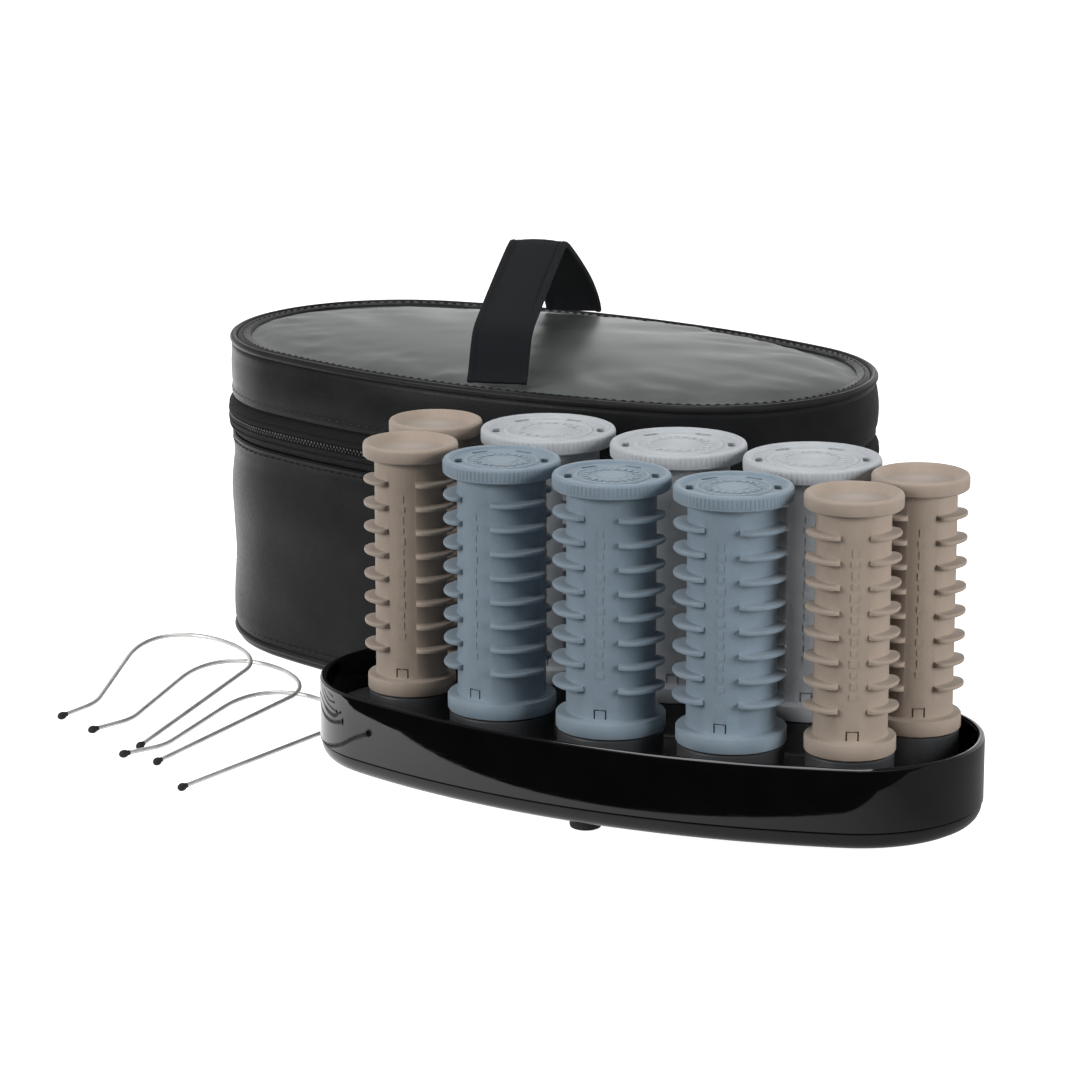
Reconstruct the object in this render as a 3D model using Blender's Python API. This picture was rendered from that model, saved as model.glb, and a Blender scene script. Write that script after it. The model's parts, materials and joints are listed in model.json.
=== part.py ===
"""Heated roller set.

Ten finned hair rollers stand on the heating posts of an oval base. Three bent-wire clips lie beside
it, and a soft oval carry case with a zip, a clear window and a strap stands behind it. Lengths are in
metres, +Z is up, +X runs along the base, and the origin is on the table under the middle of the set.
"""

import math

import bmesh
import bpy
from mathutils import Matrix, Vector

GAP = 0.0003                    # clearance between pieces that touch

# Base
BASE_X, BASE_Y = 0.0466, -0.0553
BASE_HALF_LENGTH, BASE_HALF_WIDTH, BASE_END_RADIUS = 0.0944, 0.0440, 0.0340
COVER_BOTTOM, SEAM_Z, RIM_TOP = 0.0026, 0.0075, 0.0249
WALL = 0.0020
FLOOR_TOP = 0.0042
PLATE_BOTTOM, PLATE_TOP = 0.0099, 0.0113
DECK_BOTTOM, DECK_TOP, PEDESTAL_TOP = 0.0128, 0.0144, 0.0234
FOOT_RADIUS, FOOT_SPOTS = 0.0042, ((0, -0.0350), (0, 0.0350), (-0.0720, 0), (0.0720, 0))
SCREW_SPOTS = ((-0.0830, 0), (-0.0200, 0), (0.0200, 0), (0.0830, 0))
BOSS_RADIUS, PILOT_RADIUS, SHANK_RADIUS, HEAD_RADIUS = 0.0035, 0.0016, 0.0013, 0.0030
ROD_RADIUS, ROD_Z, ROD_REACH, ROD_BEND, ROD_START = 0.0014, 0.0081, 0.0620, 0.0120, 0.0100

# Controls in the back wall, seen along the base
CONTROL_Z = 0.0156
SWITCH_X, LENS_X, GLAND_X = 0.0, -0.0200, 0.0260
SWITCH_REST_TILT = math.radians(-8)
LENS_RADIUS, GLAND_RADIUS, CORD_BORE = 0.0024, 0.0042, 0.0026

# Rollers. They stand just above the pedestals.
ROLLER_HEIGHT = 0.0680
ROLLER_BOTTOM = PEDESTAL_TOP + GAP
CAP_HEIGHT, FLANGE_HEIGHT = 0.0040, 0.0042
SLEEVE_WALL = 0.0015
FIN_ROWS, FIN_PITCH, FIRST_FIN, FIN_THICKNESS = 8, 0.0065, 0.0125, 0.0014
FIN_COLUMNS, FIN_HALF_ARC = 3, math.radians(36)
FIN_SHOULDER = math.radians(28)
CAP_TO_SLEEVE, CAP_TO_FLANGE, CAP_TO_PEDESTAL = 0.757, 0.930, 0.900
POST_HEIGHT = 0.0560            # above the roller's bottom
ROLLERS = {                     # cap radius, post radius, and each place with its turn in degrees
    "small_roller": (0.01295, 0.0070, (
        (-0.0641, -0.0115, -77), (0.0641, -0.0115, -64), (-0.0712, 0.0158, -70), (0.0712, 0.0158, -64))),
    "medium_roller": (0.01575, 0.0090, (
        (-0.0334, -0.0178, -100), (0.0, -0.0203, -78), (0.0334, -0.0178, -80))),
    "large_roller": (0.01835, 0.0110, (
        (-0.0389, 0.0202, -70), (0.0, 0.0203, -70), (0.0389, 0.0202, -70))),
}

# Carry case
CASE_X, CASE_Y, CASE_YAW = BASE_X - 0.0839, BASE_Y + 0.1080, math.radians(-5.8)
CASE_HALF_LENGTH, CASE_HALF_WIDTH, CASE_END_RADIUS = 0.1031, 0.0574, 0.0500
CASE_WALL, CASE_FLOOR, LINING = 0.0034, 0.0020, 0.0021      # the wall's lining backs the zip tapes
TUB_TOP, ZIP_Z, LID_BOTTOM, LID_TOP = 0.0635, 0.0692, 0.0749, 0.0930
ZIP_BULGE = 0.0012
RIM_WIDTH = 0.0060
WINDOW_RISE = 0.0022
HINGE_Y = CASE_HALF_WIDTH + ZIP_BULGE + GAP
SLIDER_REST, SLIDER_GAP = math.radians(60), 0.0006
SLIDER_LENGTH, SLIDER_WIDTH, SLIDER_THICKNESS = 0.0085, 0.0080, 0.0024
PULLER_LENGTH, PULLER_WIDTH, PULLER_THICKNESS = 0.0130, 0.0042, 0.0012
STRAP_FRONT, STRAP_BACK = (0.0178, -0.0537), (-0.0208, 0.0508)
STRAP_WIDTH, STRAP_THICKNESS = 0.0172, 0.0016
STRAP_PROFILE = (               # share of the way from front to back, height above the case's rim
    (0.000, 0.0016), (0.020, 0.0050), (0.045, 0.0110), (0.080, 0.0155), (0.180, 0.0200), (0.300, 0.0248),
    (0.410, 0.0288), (0.500, 0.0316), (0.545, 0.0310), (0.640, 0.0264), (0.750, 0.0204), (0.860, 0.0138),
    (0.930, 0.0088), (0.975, 0.0048), (1.000, 0.0016))

# Wire clips: the shoulder of the long leg, the turn in radians, and the rise of the closed end
CLIPS = ((-0.1449, 0.0348, 0.075, 0.0062), (-0.1239, 0.0246, -0.064, 0.0026), (-0.1011, 0.0075, -0.135, 0.0))
WIRE_RADIUS, TIP_RADIUS = 0.00065, 0.00112
TIP_PROFILE = (                 # distance from the wire's end along it, radius of the dipped tip
    (-0.0013, 0.00035), (-0.0008, 0.00085), (0.0002, TIP_RADIUS), (0.0013, 0.00090), (0.0019, WIRE_RADIUS))
LONG_LEG, SHORT_SHOULDER = 0.0649, 0.0382
LONG_HANDLE, SHORT_HANDLE = 0.0218, 0.0405
SHORT_BEND, SHORT_TIP = (0.0284, -0.0376), (0.0325, -0.0506)

ROUND_STEPS = 16
OVAL_SIDE_STEPS, OVAL_END_STEPS = 10, 12
SMALL_STEPS = 8


# ---------------------------------------------------------------- scene, materials and objects

def clear_scene():
    for old in list(bpy.data.objects):
        bpy.data.objects.remove(old, do_unlink=True)


def new_collection(name):
    made = bpy.data.collections.new(name)
    bpy.context.scene.collection.children.link(made)
    return made


def new_material(name, colour, roughness, metallic=0.0):
    made = bpy.data.materials.new(name)
    made.use_nodes = True
    shader = made.node_tree.nodes["Principled BSDF"]
    shader.inputs["Base Color"].default_value = (*colour, 1.0)
    shader.inputs["Roughness"].default_value = roughness
    shader.inputs["Metallic"].default_value = metallic
    made.diffuse_color = (*colour, 1.0)
    return made


def new_object(name, data, material, location=(0, 0, 0), parent=None):
    made = bpy.data.objects.new(name, data)
    if material is not None:
        data.materials.append(material)
    made.location = location
    made.parent = parent
    parts.objects.link(made)
    return made


def new_empty(name, location, turn=0.0, parent=None):
    made = new_object(name, None, None, location, parent)
    made.rotation_euler = (0, 0, turn)
    return made


def new_cutter(name, mesh, location, group):
    """Hidden shape in base coordinates, in the group that one Boolean uses."""
    made = bpy.data.objects.new(name, mesh)
    made.location = location
    made.parent = base
    made.hide_render = True
    made.display_type = "WIRE"
    group.objects.link(made)


def cutter_group(name):
    made = bpy.data.collections.new(name)
    cutters.children.link(made)
    return made


def add_boolean(target, group, operation):
    step = target.modifiers.new(operation.lower(), "BOOLEAN")
    step.operation = operation
    step.solver = "EXACT"
    step.operand_type = "COLLECTION"
    step.collection = group


def plug(radius, low, high, steps):
    """Plain round plug between two heights."""
    return turned("plug", ((0, high), (radius, high), (radius, low), (0, low)), steps=steps)


# ---------------------------------------------------------------- shapes

def mesh_of(name, shape):
    bmesh.ops.recalc_face_normals(shape, faces=shape.faces)
    mesh = bpy.data.meshes.new(name)
    shape.to_mesh(mesh)
    shape.free()
    mesh.shade_smooth()
    mesh.set_sharp_from_angle(angle=math.radians(35))
    return mesh


def loft(name, sections, closed):
    """Skin over sections with equal point counts. The ends are capped, or the last meets the first."""
    shape = bmesh.new()
    rings = [[shape.verts.new(point) for point in section] for section in sections]
    pairs = list(zip(rings, rings[1:]))
    if closed:
        pairs.append((rings[-1], rings[0]))
    else:
        shape.faces.new(rings[0])
        shape.faces.new(rings[-1])
    for lower, upper in pairs:
        for here in range(len(lower)):
            there = (here + 1) % len(lower)
            shape.faces.new((lower[here], lower[there], upper[there], upper[here]))
    return mesh_of(name, shape)


def turned(name, profile, closed=False, steps=ROUND_STEPS, axis="Z"):
    """Round piece about an axis, from (radius, height) points down its outer side, top to bottom."""
    shape = bmesh.new()
    dots = [shape.verts.new((radius, 0, height)) for radius, height in profile]
    for upper, lower in zip(dots, dots[1:]):
        shape.edges.new((upper, lower))
    if closed:
        shape.edges.new((dots[-1], dots[0]))
    whole = shape.verts[:] + shape.edges[:]
    bmesh.ops.spin(shape, geom=whole, cent=(0, 0, 0), axis=(0, 0, 1), angle=math.tau, steps=steps,
                   use_merge=True)
    bmesh.ops.remove_doubles(shape, verts=shape.verts, dist=1e-6)
    if axis == "Y":
        bmesh.ops.rotate(shape, verts=shape.verts, cent=(0, 0, 0), matrix=Matrix.Rotation(-math.pi / 2, 3, "X"))
    return mesh_of(name, shape)


def box(name, low, high):
    shape = bmesh.new()
    size = Vector(high) - Vector(low)
    middle = (Vector(high) + Vector(low)) / 2
    bmesh.ops.create_cube(shape, size=1.0, matrix=Matrix.Translation(middle) @ Matrix.Diagonal((*size, 1)))
    return mesh_of(name, shape)


def oval(half_length, half_width, end_radius, inset=0.0):
    """Outline of four tangent arcs, moved inwards by the inset."""
    end_centre = half_length - end_radius
    side_radius = (end_centre ** 2 + half_width ** 2 - end_radius ** 2) / (2 * (half_width - end_radius))
    side_centre = side_radius - half_width
    meet = math.atan2(side_centre, end_centre)
    arcs = (
        (end_centre, 0, end_radius, -meet, meet, OVAL_END_STEPS),
        (0, -side_centre, side_radius, meet, math.pi - meet, OVAL_SIDE_STEPS),
        (-end_centre, 0, end_radius, math.pi - meet, math.pi + meet, OVAL_END_STEPS),
        (0, side_centre, side_radius, math.pi + meet, math.tau - meet, OVAL_SIDE_STEPS),
    )
    points = []
    for x, y, radius, start, end, steps in arcs:
        for step in range(steps):
            angle = start + (end - start) * step / steps
            points.append((x + (radius - inset) * math.cos(angle), y + (radius - inset) * math.sin(angle)))
    return points


def base_oval(inset, z):
    return [(x, y, z) for x, y in oval(BASE_HALF_LENGTH, BASE_HALF_WIDTH, BASE_END_RADIUS, inset)]


def case_oval(inset, z):
    return [(x, y, z) for x, y in oval(CASE_HALF_LENGTH, CASE_HALF_WIDTH, CASE_END_RADIUS, inset)]


def all_rollers():
    """Every roller as (kind, number, cap radius, post radius, x, y, turn), in order."""
    for kind, (cap_radius, post_radius, places) in ROLLERS.items():
        for number, (x, y, turn) in enumerate(places, 1):
            yield kind, number, cap_radius, post_radius, x, y, math.radians(turn)


# ---------------------------------------------------------------- base

def build_base_housing():
    sections = [base_oval(inset, z) for inset, z in (
        (0.0, SEAM_Z + GAP), (0.0, RIM_TOP - 0.0010), (0.0005, RIM_TOP - 0.0002), (0.0011, RIM_TOP),
        (0.0017, RIM_TOP - 0.0003), (WALL, RIM_TOP - 0.0009), (WALL, SEAM_Z + GAP))]
    housing = new_object("base_housing", loft("base_housing", sections, True), gloss_black, parent=base)
    holes = cutter_group("housing_holes")
    reach = 0.0060
    opening = box("switch_hole", (-0.0080, -reach, -0.0050), (0.0080, reach, 0.0050))
    new_cutter("switch_hole", opening, (SWITCH_X, BASE_HALF_WIDTH, CONTROL_Z), holes)
    for name, x, radius in (("lens_hole", LENS_X, LENS_RADIUS), ("gland_hole", GLAND_X, GLAND_RADIUS)):
        profile = ((0, reach), (radius + GAP, reach), (radius + GAP, -reach), (0, -reach))
        new_cutter(name, turned(name, profile, axis="Y"), (x, BASE_HALF_WIDTH, CONTROL_Z), holes)
    add_boolean(housing, holes, "DIFFERENCE")


def build_deck_insert():
    sections = [base_oval(WALL + 2 * GAP, z) for z in (DECK_BOTTOM, DECK_TOP)]
    deck = new_object("deck_insert", loft("deck_insert", sections, False), satin_black, parent=base)
    additions, holes = cutter_group("deck_additions"), cutter_group("deck_holes")
    inside = (DECK_BOTTOM + DECK_TOP) / 2
    for kind, number, cap_radius, post_radius, x, y, _ in all_rollers():
        pedestal = plug(cap_radius * CAP_TO_PEDESTAL, inside, PEDESTAL_TOP, ROUND_STEPS)
        new_cutter(f"pedestal_{kind}_{number}", pedestal, (x, y, 0), additions)
        bore = plug(post_radius + 2 * GAP, 0.0100, 0.0300, ROUND_STEPS)
        new_cutter(f"post_hole_{kind}_{number}", bore, (x, y, 0), holes)
    for number, (x, y) in enumerate(SCREW_SPOTS, 1):
        new_cutter(f"boss_{number}", plug(BOSS_RADIUS, FLOOR_TOP + GAP, inside, SMALL_STEPS), (x, y, 0), additions)
        new_cutter(f"pilot_{number}", plug(PILOT_RADIUS, 0.0020, 0.0115, SMALL_STEPS), (x, y, 0), holes)
    notch = box("switch_notch", (-0.0085, -0.0045, 0.0100), (0.0085, 0.0100, 0.0200))
    new_cutter("switch_notch", notch, (SWITCH_X, BASE_HALF_WIDTH, 0), holes)
    add_boolean(deck, additions, "UNION")
    add_boolean(deck, holes, "DIFFERENCE")


def build_bottom_cover():
    sections = [base_oval(inset, z) for inset, z in (
        (0.0045, COVER_BOTTOM), (0.0017, 0.0036), (0.0006, 0.0052), (0.0004, SEAM_Z),
        (0.0024, SEAM_Z), (0.0030, 0.0052), (0.0048, FLOOR_TOP))]
    cover = new_object("bottom_cover", loft("bottom_cover", sections, False), satin_black, parent=base)
    holes = cutter_group("cover_holes")
    for number, (x, y) in enumerate(SCREW_SPOTS, 1):
        new_cutter(f"screw_hole_{number}", plug(SHANK_RADIUS + 2 * GAP, 0, 0.0060, SMALL_STEPS), (x, y, 0), holes)
    add_boolean(cover, holes, "DIFFERENCE")


def build_screws_and_feet():
    head_top = COVER_BOTTOM - GAP
    for number, (x, y) in enumerate(SCREW_SPOTS, 1):
        profile = ((0, 0.0100), (SHANK_RADIUS, 0.0100), (SHANK_RADIUS, head_top), (HEAD_RADIUS, head_top),
                   (HEAD_RADIUS, head_top - 0.0008), (HEAD_RADIUS - 0.0006, head_top - 0.0012),
                   (0, head_top - 0.0012))
        name = f"cover_screw_{number}"
        new_object(name, turned(name, profile, steps=SMALL_STEPS), steel, (x, y, 0), base)
    for number, (x, y) in enumerate(FOOT_SPOTS, 1):
        profile = ((0, head_top), (FOOT_RADIUS, head_top), (FOOT_RADIUS, 0.0006), (FOOT_RADIUS - 0.0006, 0), (0, 0))
        name = f"foot_{number}"
        new_object(name, turned(name, profile), rubber, (x, y, 0), base)


def build_heater():
    sections = [base_oval(0.0060, z) for z in (PLATE_BOTTOM, PLATE_TOP)]
    plate = new_object("heater_plate", loft("heater_plate", sections, False), aluminium, parent=base)
    holes = cutter_group("plate_holes")
    for number, (x, y) in enumerate(SCREW_SPOTS, 1):
        clearance = plug(BOSS_RADIUS + 2 * GAP, 0.0050, 0.0200, SMALL_STEPS)
        new_cutter(f"boss_clearance_{number}", clearance, (x, y, 0), holes)
    add_boolean(plate, holes, "DIFFERENCE")
    for name, side in (("heater_rod_left", -1), ("heater_rod_right", 1)):
        points = [(ROD_START, ROD_BEND)]
        for step in range(9):
            angle = math.pi / 2 - math.pi * step / 8
            points.append((ROD_REACH + ROD_BEND * math.cos(angle), ROD_BEND * math.sin(angle)))
        points.append((ROD_START, -ROD_BEND))
        route = [(side * x, y, ROD_Z) for x, y in points]
        new_object(name, wire(name, route, ROD_RADIUS), steel, parent=base)
    profile = ((0, 0.0096), (0.0060, 0.0096), (0.0060, 0.0070), (0.0040, 0.0062), (0, 0.0062))
    new_object("thermostat", turned("thermostat", profile), brass, parent=base)


def wire(name, route, radius, swell=None):
    """Round wire through the points of the route; the swell is each point's share of the radius."""
    curve = bpy.data.curves.new(name, "CURVE")
    curve.dimensions = "3D"
    curve.bevel_depth = radius
    curve.bevel_resolution = 2
    curve.use_fill_caps = True
    line = curve.splines.new("POLY")
    line.points.add(len(route) - 1)
    for dot, place, share in zip(line.points, route, swell or [1.0] * len(route)):
        dot.co = (*place, 1.0)
        dot.radius = share
    return curve


def build_posts():
    for kind, number, _, radius, x, y, _ in all_rollers():
        top = ROLLER_BOTTOM + POST_HEIGHT
        low = PLATE_TOP + GAP
        profile = ((0, top), (radius - 0.0015, top), (radius, top - 0.0015), (radius, low + 0.0009),
                   (radius + 0.0015, low + 0.0009), (radius + 0.0015, low), (0, low))
        name = f"{kind.replace('roller', 'post')}_{number}"
        new_object(name, turned(name, profile), aluminium, (x, y, 0), base)


def rectangle(half_width, half_height, y):
    return [(half_width, y, half_height), (-half_width, y, half_height), (-half_width, y, -half_height),
            (half_width, y, -half_height)]


def build_controls():
    back = BASE_HALF_WIDTH
    sections = [rectangle(0.0090, 0.0062, back + 0.0013), rectangle(0.0090, 0.0062, back + GAP),
                rectangle(0.0077, 0.0047, back + GAP), rectangle(0.0077, 0.0047, back - 0.0040),
                rectangle(0.0065, 0.0036, back - 0.0040), rectangle(0.0065, 0.0036, back + 0.0013)]
    new_object("switch_bezel", loft("switch_bezel", sections, True), satin_black, (SWITCH_X, 0, CONTROL_Z), base)

    outline = ((-0.0059, 0.0016), (0, 0.0004), (0.0059, 0.0016), (0.0056, -0.0010), (0, -0.0022), (-0.0056, -0.0010))
    sections = [[(x, y, z) for x, y in outline] for z in (-0.0032, 0.0032)]
    rocker = new_object("switch_rocker", loft("switch_rocker", sections, False), gloss_black,
                        (SWITCH_X, back - 0.0004, CONTROL_Z), base)
    rocker.rotation_euler = (0, 0, SWITCH_REST_TILT)

    radius = LENS_RADIUS
    profile = ((0, 0.0010), (0.0016, 0.0008), (0.0033, 0.0001), (0.0033, -0.0004), (radius, -0.0004),
               (radius, -0.0028), (0, -0.0028))
    new_object("indicator_lens", turned("indicator_lens", profile, axis="Y"), red_lens,
               (LENS_X, back, CONTROL_Z), base)

    radius = GLAND_RADIUS
    profile = ((CORD_BORE, 0.0050), (CORD_BORE + 0.0012, 0.0050), (CORD_BORE + 0.0018, 0.0020), (0.0058, 0.0016),
               (0.0058, -0.0002), (radius, -0.0002), (radius, -0.0034), (CORD_BORE, -0.0034))
    new_object("cord_gland", turned("cord_gland", profile, closed=True, axis="Y"), rubber,
               (GLAND_X, back, CONTROL_Z), base)


# ---------------------------------------------------------------- rollers

def sleeve_ring(radius, fin_radius, z):
    """Section of a sleeve: the middle of each fin column stands out to the fin's radius."""
    ring = []
    for column in range(FIN_COLUMNS):
        middle = math.tau * column / FIN_COLUMNS + math.pi / FIN_COLUMNS
        for offset in (-FIN_HALF_ARC, -FIN_SHOULDER, 0, FIN_SHOULDER, FIN_HALF_ARC):
            reach = radius if abs(offset) == FIN_HALF_ARC else fin_radius
            angle = middle + offset
            ring.append((reach * math.cos(angle), reach * math.sin(angle), z))
    return ring


def sleeve_mesh(name, cap_radius):
    body = cap_radius * CAP_TO_SLEEVE
    flange = cap_radius * CAP_TO_FLANGE
    bore = body - SLEEVE_WALL
    fin = cap_radius - 0.0001
    top = ROLLER_HEIGHT - CAP_HEIGHT - GAP
    rings = [flange_ring(flange, 0.0), flange_ring(flange, FLANGE_HEIGHT), sleeve_ring(body, body, FLANGE_HEIGHT)]
    for row in range(FIN_ROWS):
        middle = FIRST_FIN + row * FIN_PITCH
        rings += [sleeve_ring(body, body, middle - FIN_THICKNESS / 2), sleeve_ring(body, fin, middle),
                  sleeve_ring(body, body, middle + FIN_THICKNESS / 2)]
    rings += [sleeve_ring(body, body, top), flange_ring(bore, top), flange_ring(bore, 0.0)]
    return loft(name, rings, True)


def flange_ring(radius, z):
    """Even ring with the same number of points as a sleeve's section."""
    count = 5 * FIN_COLUMNS
    first = math.pi / FIN_COLUMNS - 2 * math.tau / count
    return [(radius * math.cos(first + math.tau * n / count), radius * math.sin(first + math.tau * n / count), z)
            for n in range(count)]


def cap_mesh(name, cap_radius):
    low, high = ROLLER_HEIGHT - CAP_HEIGHT, ROLLER_HEIGHT
    spigot = cap_radius * CAP_TO_SLEEVE - SLEEVE_WALL - 2 * GAP - 0.0004
    dish = cap_radius - 0.0022
    profile = ((0, high - 0.0010), (dish, high - 0.0010), (dish + 0.0008, high), (cap_radius, high),
               (cap_radius, low), (spigot, low), (spigot, low - 0.0030), (0, low - 0.0030))
    return turned(name, profile)


def build_rollers():
    plastics = {"small_roller": beige, "medium_roller": blue_grey, "large_roller": light_grey}
    for kind, number, cap_radius, _, x, y, turn in all_rollers():
        name = f"{kind}_{number}"
        roller = new_empty(f"{name}_slide", (x, y, ROLLER_BOTTOM), turn, base)
        new_object(name, sleeve_mesh(name, cap_radius), plastics[kind], parent=roller)
        new_object(f"{name}_cap", cap_mesh(name, cap_radius), plastics[kind], parent=roller)


# ---------------------------------------------------------------- wire clips

def clip_route(turn, rise):
    """Centre line of a clip that lies on its two tips, from the long leg's tip to the short leg's."""
    shoulder, bend, tip = Vector((SHORT_SHOULDER, 0)), Vector(SHORT_BEND), Vector(SHORT_TIP)
    flat = [Vector((0, -LONG_LEG)), Vector((0, -LONG_LEG / 2))]
    first, second = Vector((0, LONG_HANDLE)), shoulder + (shoulder - bend).normalized() * SHORT_HANDLE
    for step in range(15):
        t = step / 14
        flat.append(3 * (1 - t) ** 2 * t * first + 3 * (1 - t) * t ** 2 * second + t ** 3 * shoulder)
    flat += [(shoulder + bend) / 2, bend, tip]
    crown = max(point.y for point in flat)
    route = []
    for point in flat:
        height = TIP_RADIUS + rise * max(0.0, point.y + LONG_LEG) / (crown + LONG_LEG)
        across = Vector((-math.cos(turn), -math.sin(turn))) * point.x
        along = Vector((-math.sin(turn), math.cos(turn))) * point.y
        route.append(Vector((*(across + along), height)))
    return route


def dipped_tip(end, inner):
    """Points of a tip from its outer end inwards, and their shares of the wire's radius."""
    way = (inner - end).normalized()
    return [end + way * step for step, _ in TIP_PROFILE], [radius / WIRE_RADIUS for _, radius in TIP_PROFILE]


def build_clips():
    for number, (x, y, turn, rise) in enumerate(CLIPS, 1):
        name = f"wire_clip_{number}"
        route = clip_route(turn, rise)
        long_tip, swell = dipped_tip(route[0], route[1])
        short_tip, _ = dipped_tip(route[-1], route[-2])
        points = long_tip + route[1:-1] + short_tip[::-1]
        shares = swell + [1.0] * (len(route) - 2) + swell[::-1]
        new_object(name, wire(name, points, WIRE_RADIUS, shares), steel, (x, y, 0), base)


# ---------------------------------------------------------------- carry case

def build_case_tub():
    sections = [case_oval(inset, z) for inset, z in (
        (0.0034, 0.0), (0.0008, 0.0010), (0.0, 0.0034), (0.0, TUB_TOP), (LINING, TUB_TOP),
        (LINING, ZIP_Z - 0.0002), (CASE_WALL, ZIP_Z - 0.0002), (CASE_WALL, CASE_FLOOR + 0.0010),
        (CASE_WALL + 0.0020, CASE_FLOOR))]
    new_object("case_tub", loft("case_tub", sections, False), black_vinyl, parent=case)

    sections = [case_oval(inset, z) for inset, z in (
        (0.0006, TUB_TOP + GAP), (-ZIP_BULGE, ZIP_Z - 0.0030), (-ZIP_BULGE, ZIP_Z - 0.0002),
        (0.0012, ZIP_Z - 0.0002), (0.0018, TUB_TOP + GAP))]
    new_object("zip_tape_lower", loft("zip_tape_lower", sections, True), black_fabric, parent=case)


def relative(sections, origin):
    return [[(x - origin[0], y - origin[1], z - origin[2]) for x, y, z in section] for section in sections]


def build_case_lid():
    hinge = (0.0, HINGE_Y, ZIP_Z)
    lid = new_empty("lid_hinge", hinge, parent=case)

    sections = [case_oval(inset, z) for inset, z in (
        (0.0006, LID_BOTTOM - GAP), (-ZIP_BULGE, ZIP_Z + 0.0030), (-ZIP_BULGE, ZIP_Z + 0.0002),
        (0.0012, ZIP_Z + 0.0002), (0.0018, LID_BOTTOM - GAP))]
    tape = loft("zip_tape_upper", relative(sections, hinge), True)
    new_object("zip_tape_upper", tape, black_fabric, parent=lid)

    sections = [case_oval(inset, z) for inset, z in (
        (0.0, LID_BOTTOM), (0.0, LID_TOP - 0.0022), (-0.0005, LID_TOP - 0.0012), (0.0006, LID_TOP),
        (RIM_WIDTH, LID_TOP - 0.0006), (RIM_WIDTH, LID_TOP - 0.0022), (CASE_WALL, LID_TOP - 0.0030),
        (CASE_WALL, ZIP_Z + 0.0002), (LINING, ZIP_Z + 0.0002), (LINING, LID_BOTTOM))]
    new_object("case_lid", loft("case_lid", relative(sections, hinge), True), black_vinyl, parent=lid)

    edge = RIM_WIDTH + GAP
    sections = [case_oval(inset, z) for inset, z in (
        (edge + 0.0120, LID_TOP + WINDOW_RISE - 0.0022), (edge, LID_TOP - 0.0018), (edge, LID_TOP - 0.0010),
        (edge + 0.0120, LID_TOP + WINDOW_RISE - 0.0012), (edge + 0.0280, LID_TOP + WINDOW_RISE))]
    sections.insert(0, case_oval(edge + 0.0280, LID_TOP + WINDOW_RISE - 0.0010))
    new_object("lid_window", loft("lid_window", relative(sections, hinge), False), clear_vinyl, parent=lid)
    build_strap(lid, hinge)


def build_strap(lid, hinge):
    front, back = Vector(STRAP_FRONT), Vector(STRAP_BACK)
    along = (back - front).normalized()
    across = Vector((-along.y, along.x)) * STRAP_WIDTH / 2
    centre = [(front + (back - front) * share, LID_TOP + height) for share, height in STRAP_PROFILE]
    sections = []
    for index, (spot, height) in enumerate(centre):
        before = centre[max(index - 1, 0)]
        after = centre[min(index + 1, len(centre) - 1)]
        run, rise = (after[0] - before[0]).length, after[1] - before[1]
        slope = math.hypot(run, rise)
        out = along * (-rise / slope) * STRAP_THICKNESS / 2
        lift = run / slope * STRAP_THICKNESS / 2
        sections.append([
            (*(spot + out - across), height + lift), (*(spot + out + across), height + lift),
            (*(spot - out + across), height - lift), (*(spot - out - across), height - lift)])
    new_object("carry_strap", loft("carry_strap", relative(sections, hinge), False), black_fabric, parent=lid)


def build_zip_slider():
    """The slider rides round the end of the case, about the end arc's centre."""
    centre = new_empty("slider_track", (CASE_HALF_LENGTH - CASE_END_RADIUS, 0, ZIP_Z), SLIDER_REST, case)
    inner = CASE_END_RADIUS + ZIP_BULGE + SLIDER_GAP
    outer = inner + SLIDER_THICKNESS
    half_width = SLIDER_WIDTH / 2
    sections = []
    for share, narrow in ((-1, 0.5), (-0.6, 0.8), (0.2, 1.0), (0.7, 1.0), (1, 0.7)):
        angle = share * SLIDER_LENGTH / 2 / CASE_END_RADIUS
        ring = [(inner, -half_width * narrow), (outer, -half_width * narrow),
                (outer, half_width * narrow), (inner, half_width * narrow)]
        sections.append([(radius * math.cos(angle), radius * math.sin(angle), z) for radius, z in ring])
    new_object("zip_slider", loft("zip_slider", sections, False), steel, parent=centre)

    pin = new_empty("puller_pin", (outer + PULLER_THICKNESS, 0, 0.0010), parent=centre)
    half, thick = PULLER_WIDTH / 2, PULLER_THICKNESS / 2
    outline = ((-half, 0.0010), (half, 0.0010), (half, -PULLER_LENGTH + 0.002), (half / 2, -PULLER_LENGTH),
               (-half / 2, -PULLER_LENGTH), (-half, -PULLER_LENGTH + 0.002))
    sections = [[(x, y, z) for y, z in outline] for x in (-thick, thick)]
    new_object("zip_puller", loft("zip_puller", sections, False), steel, parent=pin)


# ---------------------------------------------------------------- the set

clear_scene()
parts = new_collection("heated_roller_set")
cutters = new_collection("cutters")

gloss_black = new_material("gloss_black", (0.006, 0.006, 0.007), 0.12)
satin_black = new_material("satin_black", (0.020, 0.020, 0.022), 0.45)
rubber = new_material("rubber", (0.015, 0.015, 0.015), 0.80)
aluminium = new_material("aluminium", (0.72, 0.72, 0.73), 0.35, 1.0)
steel = new_material("steel", (0.60, 0.60, 0.62), 0.25, 1.0)
brass = new_material("brass", (0.70, 0.55, 0.30), 0.35, 1.0)
red_lens = new_material("red_lens", (0.55, 0.02, 0.02), 0.15)
beige = new_material("beige_plastic", (0.38, 0.28, 0.21), 0.70)
blue_grey = new_material("blue_grey_plastic", (0.20, 0.28, 0.38), 0.70)
light_grey = new_material("light_grey_plastic", (0.58, 0.60, 0.62), 0.65)
black_vinyl = new_material("black_vinyl", (0.012, 0.012, 0.014), 0.40)
black_fabric = new_material("black_fabric", (0.010, 0.010, 0.012), 0.75)
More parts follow.
